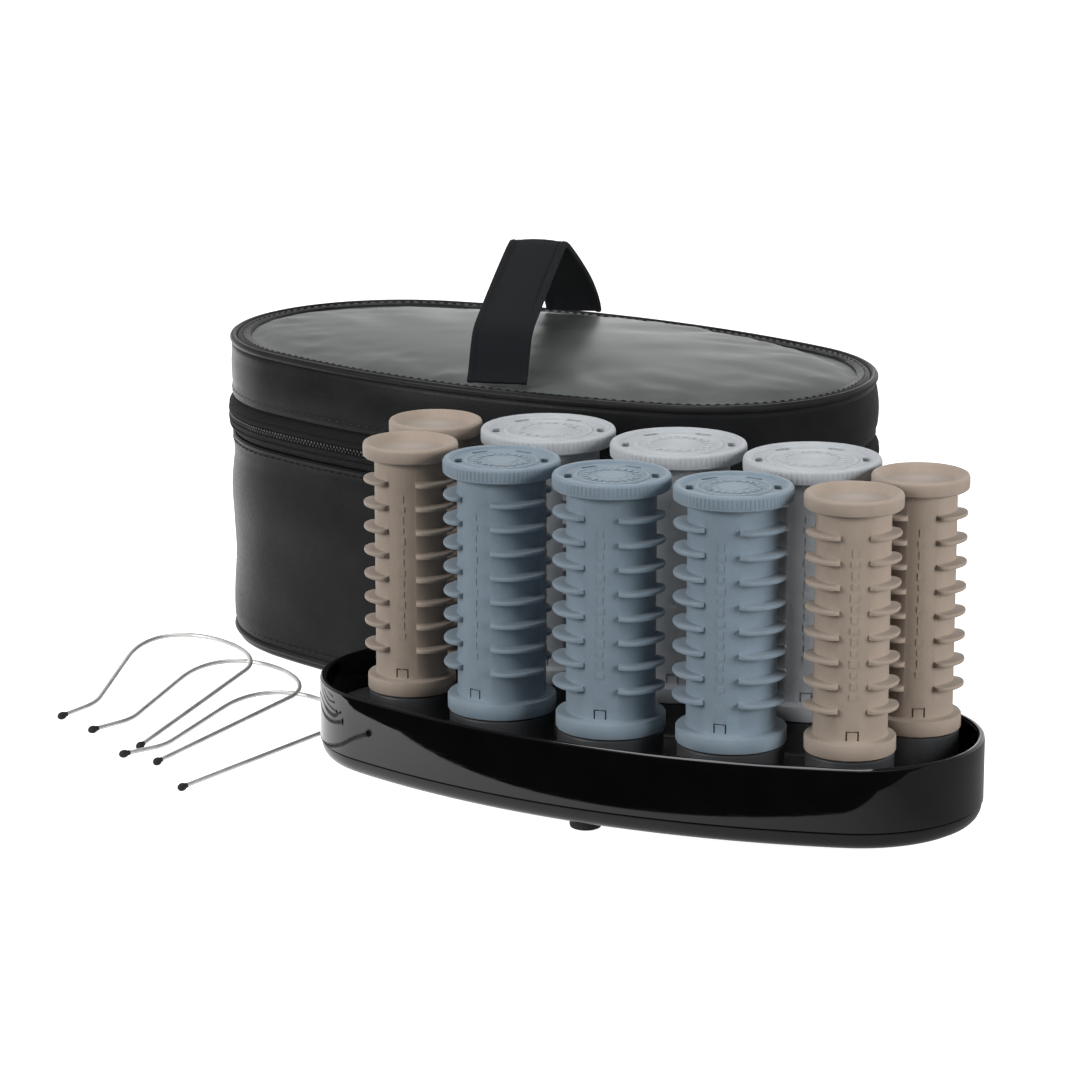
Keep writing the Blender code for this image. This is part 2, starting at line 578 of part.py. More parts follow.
clear_vinyl = new_material("clear_vinyl", (0.60, 0.64, 0.62), 0.08)

base = new_empty("base", (BASE_X, BASE_Y, 0))
case = new_empty("carry_case", (CASE_X, CASE_Y, 0), CASE_YAW)

build_base_housing()
build_deck_insert()
build_bottom_cover()
build_screws_and_feet()
build_heater()
build_posts()
build_controls()
build_rollers()
build_clips()
build_case_tub()
build_case_lid()
build_zip_slider()
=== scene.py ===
"""Looks of the heated roller set: finned rollers on their heated base, wire clips and the soft case."""

import json
import math

import bmesh
import bpy
from mathutils import Matrix, Vector, geometry, noise

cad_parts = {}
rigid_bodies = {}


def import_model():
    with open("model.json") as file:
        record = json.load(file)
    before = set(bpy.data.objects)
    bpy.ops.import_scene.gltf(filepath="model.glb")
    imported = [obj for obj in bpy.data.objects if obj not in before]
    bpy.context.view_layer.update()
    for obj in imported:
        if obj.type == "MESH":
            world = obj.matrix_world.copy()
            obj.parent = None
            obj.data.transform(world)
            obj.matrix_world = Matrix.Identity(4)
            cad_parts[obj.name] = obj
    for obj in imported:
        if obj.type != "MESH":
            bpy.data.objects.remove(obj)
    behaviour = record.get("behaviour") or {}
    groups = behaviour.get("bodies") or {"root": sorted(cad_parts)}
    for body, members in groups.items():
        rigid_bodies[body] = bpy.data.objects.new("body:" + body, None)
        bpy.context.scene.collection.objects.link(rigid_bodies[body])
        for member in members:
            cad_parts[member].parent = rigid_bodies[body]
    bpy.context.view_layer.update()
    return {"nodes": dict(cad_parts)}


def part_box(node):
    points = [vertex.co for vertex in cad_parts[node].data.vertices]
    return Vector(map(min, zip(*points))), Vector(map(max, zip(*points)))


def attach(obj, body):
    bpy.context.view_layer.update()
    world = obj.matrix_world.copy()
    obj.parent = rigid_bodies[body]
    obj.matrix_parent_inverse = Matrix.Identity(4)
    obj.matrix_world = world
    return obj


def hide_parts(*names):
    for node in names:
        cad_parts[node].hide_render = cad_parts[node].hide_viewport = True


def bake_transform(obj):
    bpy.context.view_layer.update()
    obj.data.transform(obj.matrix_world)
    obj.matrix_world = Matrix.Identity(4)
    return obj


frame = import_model()

# The base: an oval of four tangent arcs, as half length, half width and end radius
BASE_OVAL = (0.0944, 0.0440, 0.0340)
COVER_BOTTOM, SEAM_Z, RIM_TOP, WALL = 0.0026, 0.0075, 0.0249, 0.0020
DECK_BOTTOM, DECK_TOP, PEDESTAL_TOP = 0.0128, 0.0144, 0.0234
SWITCH_TILT = math.radians(-8)
CONTROL_Z, LENS_X, GLAND_X = 0.0156, -0.0200, 0.0260
OUTLINE_POINTS = 220
POST_FLANGE = 0.0015

# Rollers: the turn of each in degrees, in the order of their numbers
ROLLER_TURNS = {"small_roller": (-77, -64, -70, -64), "medium_roller": (-100, -78, -80),
                "large_roller": (-70, -70, -70)}
ROLLER_HEIGHT, CAP_HEIGHT, FLANGE_HEIGHT = 0.0680, 0.0040, 0.0042
SLEEVE_WALL, FINS, FIN_PITCH, FIRST_FIN, FIN_THICKNESS = 0.0015, 8, 0.0065, 0.0125, 0.00125
FIN_HALF_ARC = math.radians(37)
CAP_TO_SLEEVE, CAP_TO_FLANGE, CAP_TO_PEDESTAL = 0.757, 0.930, 0.900
RIBS = 84

# The carry case
CASE_OVAL = (0.1031, 0.0574, 0.0500)
CASE_YAW = math.radians(-5.8)
TUB_TOP, ZIP_Z, LID_BOTTOM, LID_TOP = 0.0635, 0.0692, 0.0749, 0.0930
CASE_WALL, RIM_WIDTH, BULGE = 0.0034, 0.0060, 0.0012
HINGE_HALF = 0.0400
CASE_POINTS = 300
STITCH_LENGTH, STITCH_PITCH = 0.0019, 0.0029
STRAP_ENDS = (0.0178, -0.0537), (-0.0224, 0.0503)
STRAP_WIDTH, STRAP_THICKNESS, STRAP_CUP, STRAP_STITCH_PITCH = 0.0172, 0.0007, 0.0008, 0.0026
STRAP_PROFILE = (
    (0.000, 0.0016), (0.020, 0.0050), (0.045, 0.0110), (0.080, 0.0155), (0.180, 0.0200), (0.300, 0.0248),
    (0.410, 0.0288), (0.500, 0.0316), (0.545, 0.0310), (0.640, 0.0264), (0.750, 0.0204), (0.860, 0.0138),
    (0.930, 0.0088), (0.975, 0.0048), (1.000, 0.0016))

# Wire clips: the shoulder of the long leg from the base, the turn and the rise of the closed end
CLIPS = ((-0.1449, 0.0348, 0.075, 0.0062), (-0.1239, 0.0246, -0.064, 0.0026), (-0.1011, 0.0075, -0.135, 0.0))
WIRE_RADIUS, TIP_RADIUS = 0.00065, 0.00112
LONG_LEG, SHORT_SHOULDER, LONG_HANDLE, SHORT_HANDLE = 0.0649, 0.0382, 0.0218, 0.0405
SHORT_BEND, SHORT_TIP = (0.0284, -0.0376), (0.0325, -0.0506)

# The window: its sheet's triangles, how much larger it is cut and how far it may settle
FILM_GAP, FILM_ROW, FILM_HALVES = 0.0030, 0.866, (0.097, 0.0515)
FILM_SPARE, FILM_MOST_MOVE, FILM_FRAMES = 1.006, 0.0030, 26

# Zip slider
SLIDER_TURN, SLIDER_GAP, SLIDER_LENGTH, SLIDER_HALF_WIDTH = math.radians(60), 0.0006, 0.0085, 0.0040
PIN_REACH, PIN_Z, PIN_RADIUS = 0.0036, 0.0010, 0.0004

CAMERA_TURN, CAMERA_RISE, CAMERA_DISTANCE = math.radians(26.98), math.radians(14.14), 1.10
RIGHT = (math.cos(CAMERA_TURN), math.sin(CAMERA_TURN), 0)
ROOM_LIGHT = 0.22


# ---------------------------------------------------------------- places taken from the frame

def middle(node):
    low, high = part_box(node)
    return (low + high) / 2


def half_span(node):
    low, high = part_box(node)
    return (high.x - low.x) / 2


def standing(node):
    """Matrix that moves to a node's middle in plan and keeps the height."""
    spot = middle(node)
    return Matrix.Translation((spot.x, spot.y, 0))


base_place = Vector((*middle("base_housing").xy, 0))
case_place = base_place + Vector((-0.0839, 0.1080, 0))
base_matrix = Matrix.Translation(base_place)
case_matrix = Matrix.Translation(case_place) @ Matrix.Rotation(CASE_YAW, 4, "Z")


# ---------------------------------------------------------------- materials

def add_node(tree, kind, links, **values):
    """Shader node whose inputs are links or plain values."""
    made = tree.nodes.new(kind)
    for key, value in values.items():
        setattr(made, key, value)
    for key, source in links.items():
        if isinstance(source, bpy.types.NodeSocket):
            tree.links.new(source, made.inputs[key])
        else:
            made.inputs[key].default_value = source
    return made


def add_range(tree, source, low, high, bottom, top):
    """The source's range from low to high, mapped to bottom and top."""
    return add_node(tree, "ShaderNodeMapRange", {"Value": source, "From Min": low, "From Max": high,
                                                 "To Min": bottom, "To Max": top}).outputs[0]


class Look:
    """A procedural material: its shader's own values, then noise that drives colour, roughness and bump."""

    def __init__(self, name, colour, **values):
        self.material = bpy.data.materials.new(name)
        self.material.use_nodes = True
        self.tree = self.material.node_tree
        self.shader = self.tree.nodes["Principled BSDF"]
        self.shader.inputs["Base Color"].default_value = (*colour, 1)
        self.colour = colour
        for key, value in values.items():
            self.shader.inputs[key.replace("_", " ").title().replace("Ior", "IOR")].default_value = value
        self.place = self.node("ShaderNodeTexCoord").outputs["Object"]
        self.bump = None

    def node(self, kind, links=None, **values):
        return add_node(self.tree, kind, links or {}, **values)

    def use_uv(self):
        self.place = self.node("ShaderNodeTexCoord").outputs["UV"]
        return self

    def scaled(self, scale):
        return self.node("ShaderNodeVectorMath", {0: self.place, 1: scale}, operation="MULTIPLY").outputs[0]

    def noise(self, scale, detail=2.0, rough=0.5, stretch=(1, 1, 1)):
        """Noise of that many features to the metre, stretched along the axes with a small factor."""
        place = self.scaled([scale * side for side in stretch])
        return self.node("ShaderNodeTexNoise", {"Vector": place, "Scale": 1.0, "Detail": detail,
                                                "Roughness": rough}).outputs["Fac"]

    def cells(self, scale, feature="F1"):
        place = self.scaled([scale] * 3)
        return self.node("ShaderNodeTexVoronoi", {"Vector": place, "Scale": 1.0},
                         feature=feature).outputs["Distance"]

    def waves(self, scale, direction="X", distortion=0.0):
        place = self.scaled([scale] * 3)
        links = {"Vector": place, "Scale": 1.0 / math.tau * 2, "Distortion": distortion, "Detail": 1.0}
        return self.node("ShaderNodeTexWave", links, bands_direction=direction).outputs["Fac"]

    def maths(self, operation, first, second=0.5):
        return self.node("ShaderNodeMath", {0: first, 1: second}, operation=operation).outputs[0]

    def blend(self, first, share, second, rest):
        """Sum of two sources, each times its share."""
        return self.maths("ADD", self.maths("MULTIPLY", first, share), self.maths("MULTIPLY", second, rest))

    def shades(self, source, dark, light, low=0.3, high=0.7):
        """The base colour runs from dark to light times its own value with the source."""
        ramp = add_range(self.tree, source, low, high, 0.0, 1.0)
        colours = [tuple(min(1.0, part * factor) for part in self.colour) + (1,) for factor in (dark, light)]
        mix = self.node("ShaderNodeMix", {0: ramp, 6: colours[0], 7: colours[1]}, data_type="RGBA")
        self.tree.links.new(mix.outputs[2], self.shader.inputs["Base Color"])
        return self

    def gloss(self, source, smooth, coarse, low=0.3, high=0.7):
        """The roughness runs from smooth to coarse with the source."""
        self.tree.links.new(add_range(self.tree, source, low, high, smooth, coarse),
                            self.shader.inputs["Roughness"])
        return self

    def relief(self, source, depth, strength=1.0):
        """Bump of the given depth in metres, added to what is there."""
        links = {"Height": source, "Distance": depth, "Strength": strength}
        if self.bump is not None:
            links["Normal"] = self.bump
        self.bump = self.node("ShaderNodeBump", links).outputs[0]
        self.tree.links.new(self.bump, self.shader.inputs["Normal"])
        return self


def flocked(name, colour):
    """Velvety moulded plastic with a fine grain and faint mottling."""
    look = Look(name, colour, specular_ior_level=0.28, sheen_weight=0.18, sheen_roughness=0.5)
    grain = look.noise(2600, 3.0, 0.6)
    mottle = look.noise(240, 3.0, 0.55)
    look.shades(look.blend(grain, 0.5, mottle, 0.5), 0.93, 1.06, 0.36, 0.64)
    look.gloss(mottle, 0.54, 0.66)
    look.relief(grain, 0.00003, 0.6)
    return look.material


def gloss_plastic():
    """Polished black plastic with fine hairlines and a faint moulded ripple."""
    look = Look("gloss_black_look", (0.0022, 0.0022, 0.0024), specular_ior_level=0.52)
    hairs = look.noise(900, 4.0, 0.7, (0.05, 1, 2))
    look.shades(look.noise(120, 2.0), 0.8, 1.3)
    look.gloss(hairs, 0.03, 0.09, 0.4, 0.75)
    look.relief(look.noise(90, 1.0), 0.00001, 0.25)
    return look.material


def satin_plastic(name, colour, smooth, coarse, grain=0.00004):
    """Matt or satin moulded surface with a fine spark-eroded grain."""
    look = Look(name, colour, specular_ior_level=0.35)
    fine = look.noise(2200, 3.0, 0.6)
    look.shades(look.noise(160, 3.0), 0.82, 1.18)
    look.gloss(fine, smooth, coarse)
    look.relief(look.cells(1500), grain, 0.6)
    look.relief(fine, grain, 0.5)
    return look.material


def metal(name, colour, smooth, coarse, stretch, share=1.0):
    """Drawn or brushed metal: its scratches run along the axis with the small factor."""
    look = Look(name, colour, metallic=share)
    lines = look.noise(1500, 4.0, 0.7, stretch)
    look.shades(look.noise(200, 3.0), 0.82, 1.1)
    look.gloss(lines, smooth, coarse)
    look.relief(lines, 0.00001, 0.5)
    return look.material


def vinyl(name, colour, smooth, coarse, crease=0.00035):
    """Soft coated cloth: a pebbled grain over slow creases, paler where it is rubbed."""
    look = Look(name, colour, specular_ior_level=0.085)
    pebbles = look.cells(1350)
    slow = look.noise(26, 3.0, 0.55, (1, 1, 0.7))
    look.shades(look.noise(70, 4.0, 0.6), 0.75, 1.3)
    look.gloss(look.blend(slow, 0.7, pebbles, 0.3), smooth, coarse, 0.25, 0.65)
    look.relief(slow, crease * 2, 0.6)
    look.relief(pebbles, 0.00005, 0.55)
    return look.material


def webbing(name, colour, across, along):
    """Woven tape on UV in metres: ribs across it, broken by the threads that run along it."""
    look = Look(name, colour, specular_ior_level=0.12, sheen_weight=0.03, sheen_roughness=0.4).use_uv()
    ribs = look.waves(across, "X", 0.4)
    threads = look.waves(along, "Y", 0.4)
    weave = look.maths("MULTIPLY", ribs, threads)
    fuzz = look.noise(2400, 3.0, 0.6)
    # The colour follows the weave's height: darker in its grooves as painted shade and paler on its ribs as
    # painted light; the fuzz adds random tone.
    look.shades(look.blend(weave, 0.6, fuzz, 0.4), 0.6, 1.5, 0.2, 0.7)
    look.gloss(fuzz, 0.62, 0.86)
    look.relief(weave, 0.00012, 0.8)
    look.relief(fuzz, 0.00004, 0.5)
    return look.material


def clear_film():
    """Clear soft sheet: a mix of plain passage and hazy gloss that grows toward a low angle."""
    look = Look("clear_vinyl_look", (0.18, 0.200, 0.195), ior=2.4)
    tree = look.tree
    slow = look.noise(34, 3.0, 0.5)
    look.gloss(slow, 0.34, 0.42)
    look.shades(slow, 0.8, 1.15)
    look.relief(look.noise(45, 2.0, 0.5, (0.4, 1, 1)), 0.00030, 0.5)
    clear = look.node("ShaderNodeBsdfTransparent", {"Color": (0.86, 0.90, 0.88, 1)})
    hazed = look.node("ShaderNodeMixShader", {1: clear.outputs[0], 2: look.shader.outputs[0]})
    facing = look.node("ShaderNodeFresnel", {"IOR": 1.75, "Normal": look.bump}).outputs[0]
    tree.links.new(add_range(tree, facing, 0.0, 1.0, 0.42, 1.0), hazed.inputs[0])
    tree.links.new(hazed.outputs[0], tree.nodes["Material Output"].inputs["Surface"])
    return look.material


def glass_lens():
    """Red moulded lens with fine ribs under a clear coat."""
    look = Look("red_lens_look", (0.42, 0.010, 0.008), coat_weight=0.6, coat_roughness=0.05)
    look.shades(look.noise(500, 2.0), 0.6, 1.4)
    look.gloss(look.noise(900, 2.0), 0.10, 0.22)
    look.relief(look.waves(1800), 0.00004, 0.6)
    return look.material


looks = {
    "beige": flocked("beige_look", (0.335, 0.272, 0.222)),
    "blue_grey": flocked("blue_grey_look", (0.200, 0.258, 0.310)),
    "light_grey": flocked("light_grey_look", (0.430, 0.452, 0.475)),
    "gloss": gloss_plastic(),
    "satin": satin_plastic("satin_black_look", (0.008, 0.008, 0.0085), 0.20, 0.34, 0.000015),
    "deck": satin_plastic("deck_look", (0.036, 0.037, 0.039), 0.42, 0.58),
    "rubber": satin_plastic("rubber_look", (0.016, 0.016, 0.016), 0.70, 0.88, 0.00008),
    "aluminium": metal("aluminium_look", (0.74, 0.74, 0.75), 0.22, 0.42, (1, 1, 0.03)),
    "wire": metal("wire_look", (0.62, 0.61, 0.60), 0.26, 0.42, (1, 0.06, 1), 0.45),
    "steel": metal("steel_look", (0.58, 0.58, 0.60), 0.18, 0.36, (1, 1, 0.2)),
    "dark_metal": metal("dark_metal_look", (0.10, 0.10, 0.105), 0.25, 0.42, (1, 1, 0.2)),
    "brass": metal("brass_look", (0.70, 0.52, 0.26), 0.25, 0.42, (1, 0.1, 1)),
    "lens": glass_lens(),
    "vinyl": vinyl("black_vinyl_look", (0.0108, 0.0112, 0.0119), 0.30, 0.46),
    "piping": vinyl("piping_look", (0.016, 0.016, 0.017), 0.28, 0.42, 0.0001),
    "lining": satin_plastic("lining_look", (0.014, 0.014, 0.016), 0.70, 0.90, 0.00008),
    "tape": webbing("tape_look", (0.011, 0.011, 0.012), 5200, 7000),
    "strap": webbing("strap_look", (0.0105, 0.0118, 0.0145), 6200, 4400),
    "thread": satin_plastic("thread_look", (0.006, 0.006, 0.006), 0.60, 0.80, 0.00005),
    "film": clear_film(),
}


# ---------------------------------------------------------------- shapes

class Shape:
    """Points and faces in one list, from skins, lathed rings and tubes."""

    def __init__(self, *materials):
        self.points, self.faces, self.slots, self.uvs = [], [], [], {}
        self.materials = materials
        self.slot = 0

    def add(self, ring, uvs=None):
        first = len(self.points)
        self.points += [tuple(point) for point in ring]
        if uvs:
            self.uvs.update({first + n: uv for n, uv in enumerate(uvs)})
        return list(range(first, len(self.points)))

    def face(self, corners):
        self.faces.append(tuple(corners))
        self.slots.append(self.slot)

    def join(self, lower, upper, round_=True):
        """Quads between two rows of point numbers."""
        count = len(lower)
        for here in range(count if round_ else count - 1):
            there = (here + 1) % count
            self.face((lower[here], lower[there], upper[there], upper[here]))

    def skin(self, rings, closed=False, capped=True, round_=True, uvs=None):
        rows = [self.add(ring, uvs[n] if uvs else None) for n, ring in enumerate(rings)]
        for lower, upper in zip(rows, rows[1:]):
            self.join(lower, upper, round_)
        if closed:
            self.join(rows[-1], rows[0], round_)
        elif capped:
            self.face(reversed(rows[0]))
            self.face(rows[-1])
        return rows

    def turned(self, profile, steps=64, centre=(0, 0, 0), closed=False, axis="Z"):
        """Round piece from (radius, height) points."""
        rings = []
        for radius, height in profile:
            ring = []
            for step in range(steps):
                angle = math.tau * step / steps
                x, y = radius * math.cos(angle), radius * math.sin(angle)
                ring.append(Vector((x, y, height) if axis == "Z" else (x, height, -y)) + Vector(centre))
            rings.append(ring)
        return self.skin(rings, closed)

    def tube(self, path, radius, sides=12, closed=False):
        """Round tube along points; the radius is a number or one for each point."""
        count = len(path)
        path = [Vector(point) for point in path]
        rings, side = [], None
        for n, spot in enumerate(path):
            before = path[n - 1] if closed or n else spot
            after = path[(n + 1) % count] if closed or n < count - 1 else spot
            way = (after - before).normalized()
            if side is None:
                side = way.orthogonal()
            side = (side - way * side.dot(way)).normalized()
            other = way.cross(side)
            reach = radius[n] if isinstance(radius, (list, tuple)) else radius
            rings.append([spot + side * (reach * math.cos(math.tau * s / sides))
                          + other * (reach * math.sin(math.tau * s / sides)) for s in range(sides)])
        return self.skin(rings, closed)

    def mesh(self, name, sharp=35):
        made = bpy.data.meshes.new(name)
        made.from_pydata(self.points, [], self.faces)
        for material in self.materials:
            made.materials.append(looks[material])
        made.polygons.foreach_set("material_index", self.slots)
        if self.uvs:
            layer = made.uv_layers.new(name="metres")
            for loop in made.loops:
                layer.data[loop.index].uv = self.uvs.get(loop.vertex_index, (0.0, 0.0))
        shape = bmesh.new()
        shape.from_mesh(made)
        bmesh.ops.remove_doubles(shape, verts=shape.verts, dist=1e-7)
        bmesh.ops.recalc_face_normals(shape, faces=shape.faces)
        shape.to_mesh(made)
        shape.free()
        made.shade_smooth()
        made.set_sharp_from_angle(angle=math.radians(sharp))
        return made


def piece(name, mesh, body, replaces=(), matrix=None, shared=False):
    """Object for a mesh. A mesh of its own takes its place into its points; a shared one keeps it outside."""
    matrix = matrix or Matrix.Identity(4)
    if not shared:
        mesh.transform(matrix)
    made = bpy.data.objects.new(name, mesh)
    bpy.context.scene.collection.objects.link(made)
    made.matrix_world = matrix if shared else Matrix.Identity(4)
    if body:
        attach(made, body)
    if replaces:
        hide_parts(*replaces)
    return made


def cut(mesh, cutters, operation="DIFFERENCE"):
    """The mesh with every cutter mesh taken away, or added to it."""
    group = bpy.data.collections.new("cutters")
    target = bpy.data.objects.new("target", mesh)
    bpy.context.scene.collection.objects.link(target)
    bpy.context.scene.collection.children.link(group)
    for cutter in cutters:
        tool = bpy.data.objects.new("cutter", cutter)
        group.objects.link(tool)
    step = target.modifiers.new("cut", "BOOLEAN")
    step.operation = operation
    step.solver = "EXACT"
    step.operand_type = "COLLECTION"
    step.collection = group
    bpy.context.view_layer.update()
    made = bpy.data.meshes.new_from_object(target.evaluated_get(bpy.context.evaluated_depsgraph_get()))
    for tool in list(group.objects):
        bpy.data.objects.remove(tool)
    bpy.data.objects.remove(target)
    bpy.data.collections.remove(group)
    made.shade_smooth()
    made.set_sharp_from_angle(angle=math.radians(35))
    return made


def block(size, matrix=None, edge=0.0):
    """Box of the given size about a place, with its upright edges rounded."""
    half = [side / 2 for side in size]
    outline = []
    for corner in range(4):
        sx, sy = ((1, 1), (-1, 1), (-1, -1), (1, -1))[corner]
        steps = 5 if edge else 1
        for step in range(steps):
            angle = math.pi / 2 * (corner + (step / (steps - 1) if edge else 0.5))
            outline.append((sx * (half[0] - edge) + edge * math.cos(angle),
                            sy * (half[1] - edge) + edge * math.sin(angle)))
    shape = Shape("satin")
    shape.skin([[(x, y, z) for x, y in outline] for z in (-half[2], half[2])])
    made = shape.mesh("block")
    if matrix:
        made.transform(matrix)
    return made


def oval(size, count):
    """Even points round an outline of four tangent arcs: place, outward direction and distance along."""
    half_length, half_width, end_radius = size
    end_centre = half_length - end_radius
    side_radius = (end_centre ** 2 + half_width ** 2 - end_radius ** 2) / (2 * (half_width - end_radius))
    side_centre = side_radius - half_width
    meet = math.atan2(side_centre, end_centre)
    arcs = ((end_centre, 0, end_radius, -meet, meet), (0, -side_centre, side_radius, meet, math.pi - meet),
            (-end_centre, 0, end_radius, math.pi - meet, math.pi + meet),
            (0, side_centre, side_radius, math.pi + meet, math.tau - meet))
    whole = sum(radius * (stop - start) for _, _, radius, start, stop in arcs)
    found = []
    for n in range(count):
        left = whole * n / count
        for x, y, radius, start, stop in arcs:
            if left <= radius * (stop - start):
                break
            left -= radius * (stop - start)
        way = Vector((math.cos(start + left / radius), math.sin(start + left / radius)))
        found.append((Vector((x, y)) + way * radius, way, whole * n / count))
    return found


def ring(outline, inset, z):
    return [(*(spot - way * inset), z) for spot, way, _ in outline]


def smooth_path(points, steps):
    """Even smooth curve through 2-D or 3-D points."""
    points = [Vector(point) for point in points]
    padded = [points[0] * 2 - points[1]] + points + [points[-1] * 2 - points[-2]]
    found = []
    for n in range(len(points) - 1):
        a, b, c, d = padded[n:n + 4]
        for step in range(steps):
            t = step / steps
            found.append(0.5 * ((2 * b) + (c - a) * t + (2 * a - 5 * b + 4 * c - d) * t * t
                                + (3 * b - 3 * c + d - a) * t ** 3))
    return found + [points[-1]]


# ---------------------------------------------------------------- rollers

def fin_reach(angle):
    """Share of the fin's full depth at an angle round the sleeve: three columns with rounded ends."""
    offset = (angle + math.pi / 3) % (math.tau / 3) - math.pi / 3
    share = min(1.0, abs(offset) / FIN_HALF_ARC)
    return max(0.0, 1 - share ** 2.7) ** (1 / 2.7)


def sleeve_angles():
    """Angles round the sleeve, close together where the fins' ends curve."""
    found = []
    for column in range(3):
        centre = math.tau * column / 3 + math.pi / 3
        shares = (-1, -0.995, -0.97, -0.93, -0.87, -0.78, -0.66, -0.5, -0.33, -0.16, 0)
        spread = [share * FIN_HALF_ARC for share in shares]
        spread += [-offset for offset in reversed(spread[:-1])]
        gap = math.tau / 3 - 2 * FIN_HALF_ARC
        spread += [FIN_HALF_ARC + gap * step / 9 for step in range(1, 9)]
        found += [centre + offset for offset in spread]
    return found


def sleeve_mesh(kind, cap_radius, colour):
    body = cap_radius * CAP_TO_SLEEVE
    flange = cap_radius * CAP_TO_FLANGE
    depth = cap_radius - 0.0001 - body
    angles = sleeve_angles()
    reach = [fin_reach(angle - math.pi / 3) for angle in angles]
    levels = [(flange - 0.0005, 0.0, 0), (flange - 0.0002, 0.0001, 0), (flange, 0.0004, 0),
              (flange, FLANGE_HEIGHT - 0.0004, 0), (flange - 0.0002, FLANGE_HEIGHT - 0.0001, 0),
              (flange - 0.0005, FLANGE_HEIGHT, 0), (body + 0.0006, FLANGE_HEIGHT + 0.0001, 0),
              (body + 0.0002, FLANGE_HEIGHT + 0.0003, 0), (body, FLANGE_HEIGHT + 0.0008, 0)]
    half = FIN_THICKNESS / 2
    fin = [(0.0, -half - 0.0005), (0.05, -half - 0.00015), (0.16, -half), (0.88, -half * 0.9),
           (0.97, -half * 0.72),
           (1.0, -half * 0.35)]
    fin += [(share, -height) for share, height in reversed(fin)]
    for row in range(FINS):
        z = FIRST_FIN + row * FIN_PITCH
        levels += [(body, z + height, share * depth) for share, height in fin]
    top = ROLLER_HEIGHT - CAP_HEIGHT - 0.0003
    levels += [(body, top - 0.0004, 0), (body - 0.0004, top, 0), (body - SLEEVE_WALL, top, 0),
               (body - SLEEVE_WALL, 0.0, 0)]
    shape = Shape(colour)
    shape.skin([[((radius + out * share) * math.cos(angle), (radius + out * share) * math.sin(angle), z)
                 for angle, share in zip(angles, reach)] for radius, z, out in levels], closed=True)
    mesh = shape.mesh(kind, 40)
    cutters, marks = [], []
    for gap in range(3):
        turn = Matrix.Rotation(math.tau * gap / 3, 4, "Z")
        for mark in range(14):
            size = (0.0007, 0.0013 if mark % 3 else 0.0019, 0.0019 if mark % 2 else 0.0015)
            marks.append(block(size, turn @ Matrix.Translation((body - 0.0002, 0, 0.0165 + 0.0029 * mark))))
        for y, z, wide, high in ((-0.0015, 0.0061, 0.0004, 0.0026), (0.0015, 0.0061, 0.0004, 0.0026),
                                 (0, 0.0072, 0.0034, 0.0004)):
            place = Matrix.Translation((body, y, z))
            cutters.append(block((0.0022, wide, high), turn @ place))
    return cut(cut(mesh, marks, "UNION"), cutters)


def cap_mesh(kind, cap_radius, colour):
    small = kind == "small_roller"
    low, high = ROLLER_HEIGHT - CAP_HEIGHT, ROLLER_HEIGHT
    rim = 0.0013 if small else 0.0019
    inner = cap_radius - rim
    spigot = cap_radius * CAP_TO_SLEEVE - SLEEVE_WALL - 0.0010
    rib = 0.0 if small else 0.00022
    outside = [(spigot, low - 0.0030, 0), (spigot, low, 0), (cap_radius - 0.0006, low, 0),
               (cap_radius - 0.0001, low + 0.0004, 0), (cap_radius - 0.00008, low + 0.0007, 0.6),
               (cap_radius, low + 0.0010, 1), (cap_radius, high - 0.0009, 1),
               (cap_radius - 0.00008, high - 0.0006, 0.6), (cap_radius - 0.0003, high - 0.0002, 0),
               (cap_radius - 0.0007, high, 0)]
    if small:
        depth = 0.0022
        inside = [(inner + 0.0003, high, 0), (inner, high - 0.0002, 0), (inner - 0.0006, high - 0.0012, 0),
                  (inner - 0.0013, high - depth + 0.0002, 0), (inner - 0.0019, high - depth, 0),
                  (inner * 0.45, high - depth - 0.0001, 0), (inner * 0.40, high - depth + 0.0001, 0)]
    else:
        depth = 0.0009
        inside = [(inner + 0.0003, high, 0), (inner, high - 0.0002, 0),
                  (inner - 0.0002, high - depth + 0.0001, 0),
                  (inner - 0.0005, high - depth, 0), (inner * 0.74, high - depth, 0),
                  (inner * 0.72, high - depth + 0.0003, 0), (inner * 0.68, high - depth + 0.0003, 0),
                  (inner * 0.66, high - depth, 0), (inner * 0.30, high - depth, 0),
                  (inner * 0.28, high - depth + 0.0002, 0)]
    count = RIBS * 3
    shape = Shape(colour)
    rings = []
    for radius, z, share in outside + inside:
        row = []
        for step in range(count):
            angle = math.tau * step / count
            reach = radius - rib * share * (step % 3 == 0)
            row.append((reach * math.cos(angle), reach * math.sin(angle), z))
        rings.append(row)
    shape.skin(rings)
    mesh = shape.mesh(f"{kind}_cap", 40)
    cutters, marks = [], []
    for turn in range(0 if small else 20):
        spin = Matrix.Rotation(math.tau * (turn + 0.5) / 20, 4, "Z")
        size = (0.0016, 0.0008 if turn % 3 else 0.0013, 0.0006)
        marks.append(block(size, spin @ Matrix.Translation((inner * 0.50, 0, high - depth))))
    for turn in range(2 if small else 6):
        spin = Matrix.Rotation(math.tau * turn / (2 if small else 6), 4, "Z")
        spot = inner - (0.0026 if small else 0.0023)
        size = (0.0008, 0.0018, 0.0012) if small else (0.0020, 0.0048, 0.0030)
        cutters.append(block(size, spin @ Matrix.Translation((spot, 0, high - depth)),
                             0.0003 if small else 0.0007))
    return cut(cut(mesh, marks, "UNION") if marks else mesh, cutters)


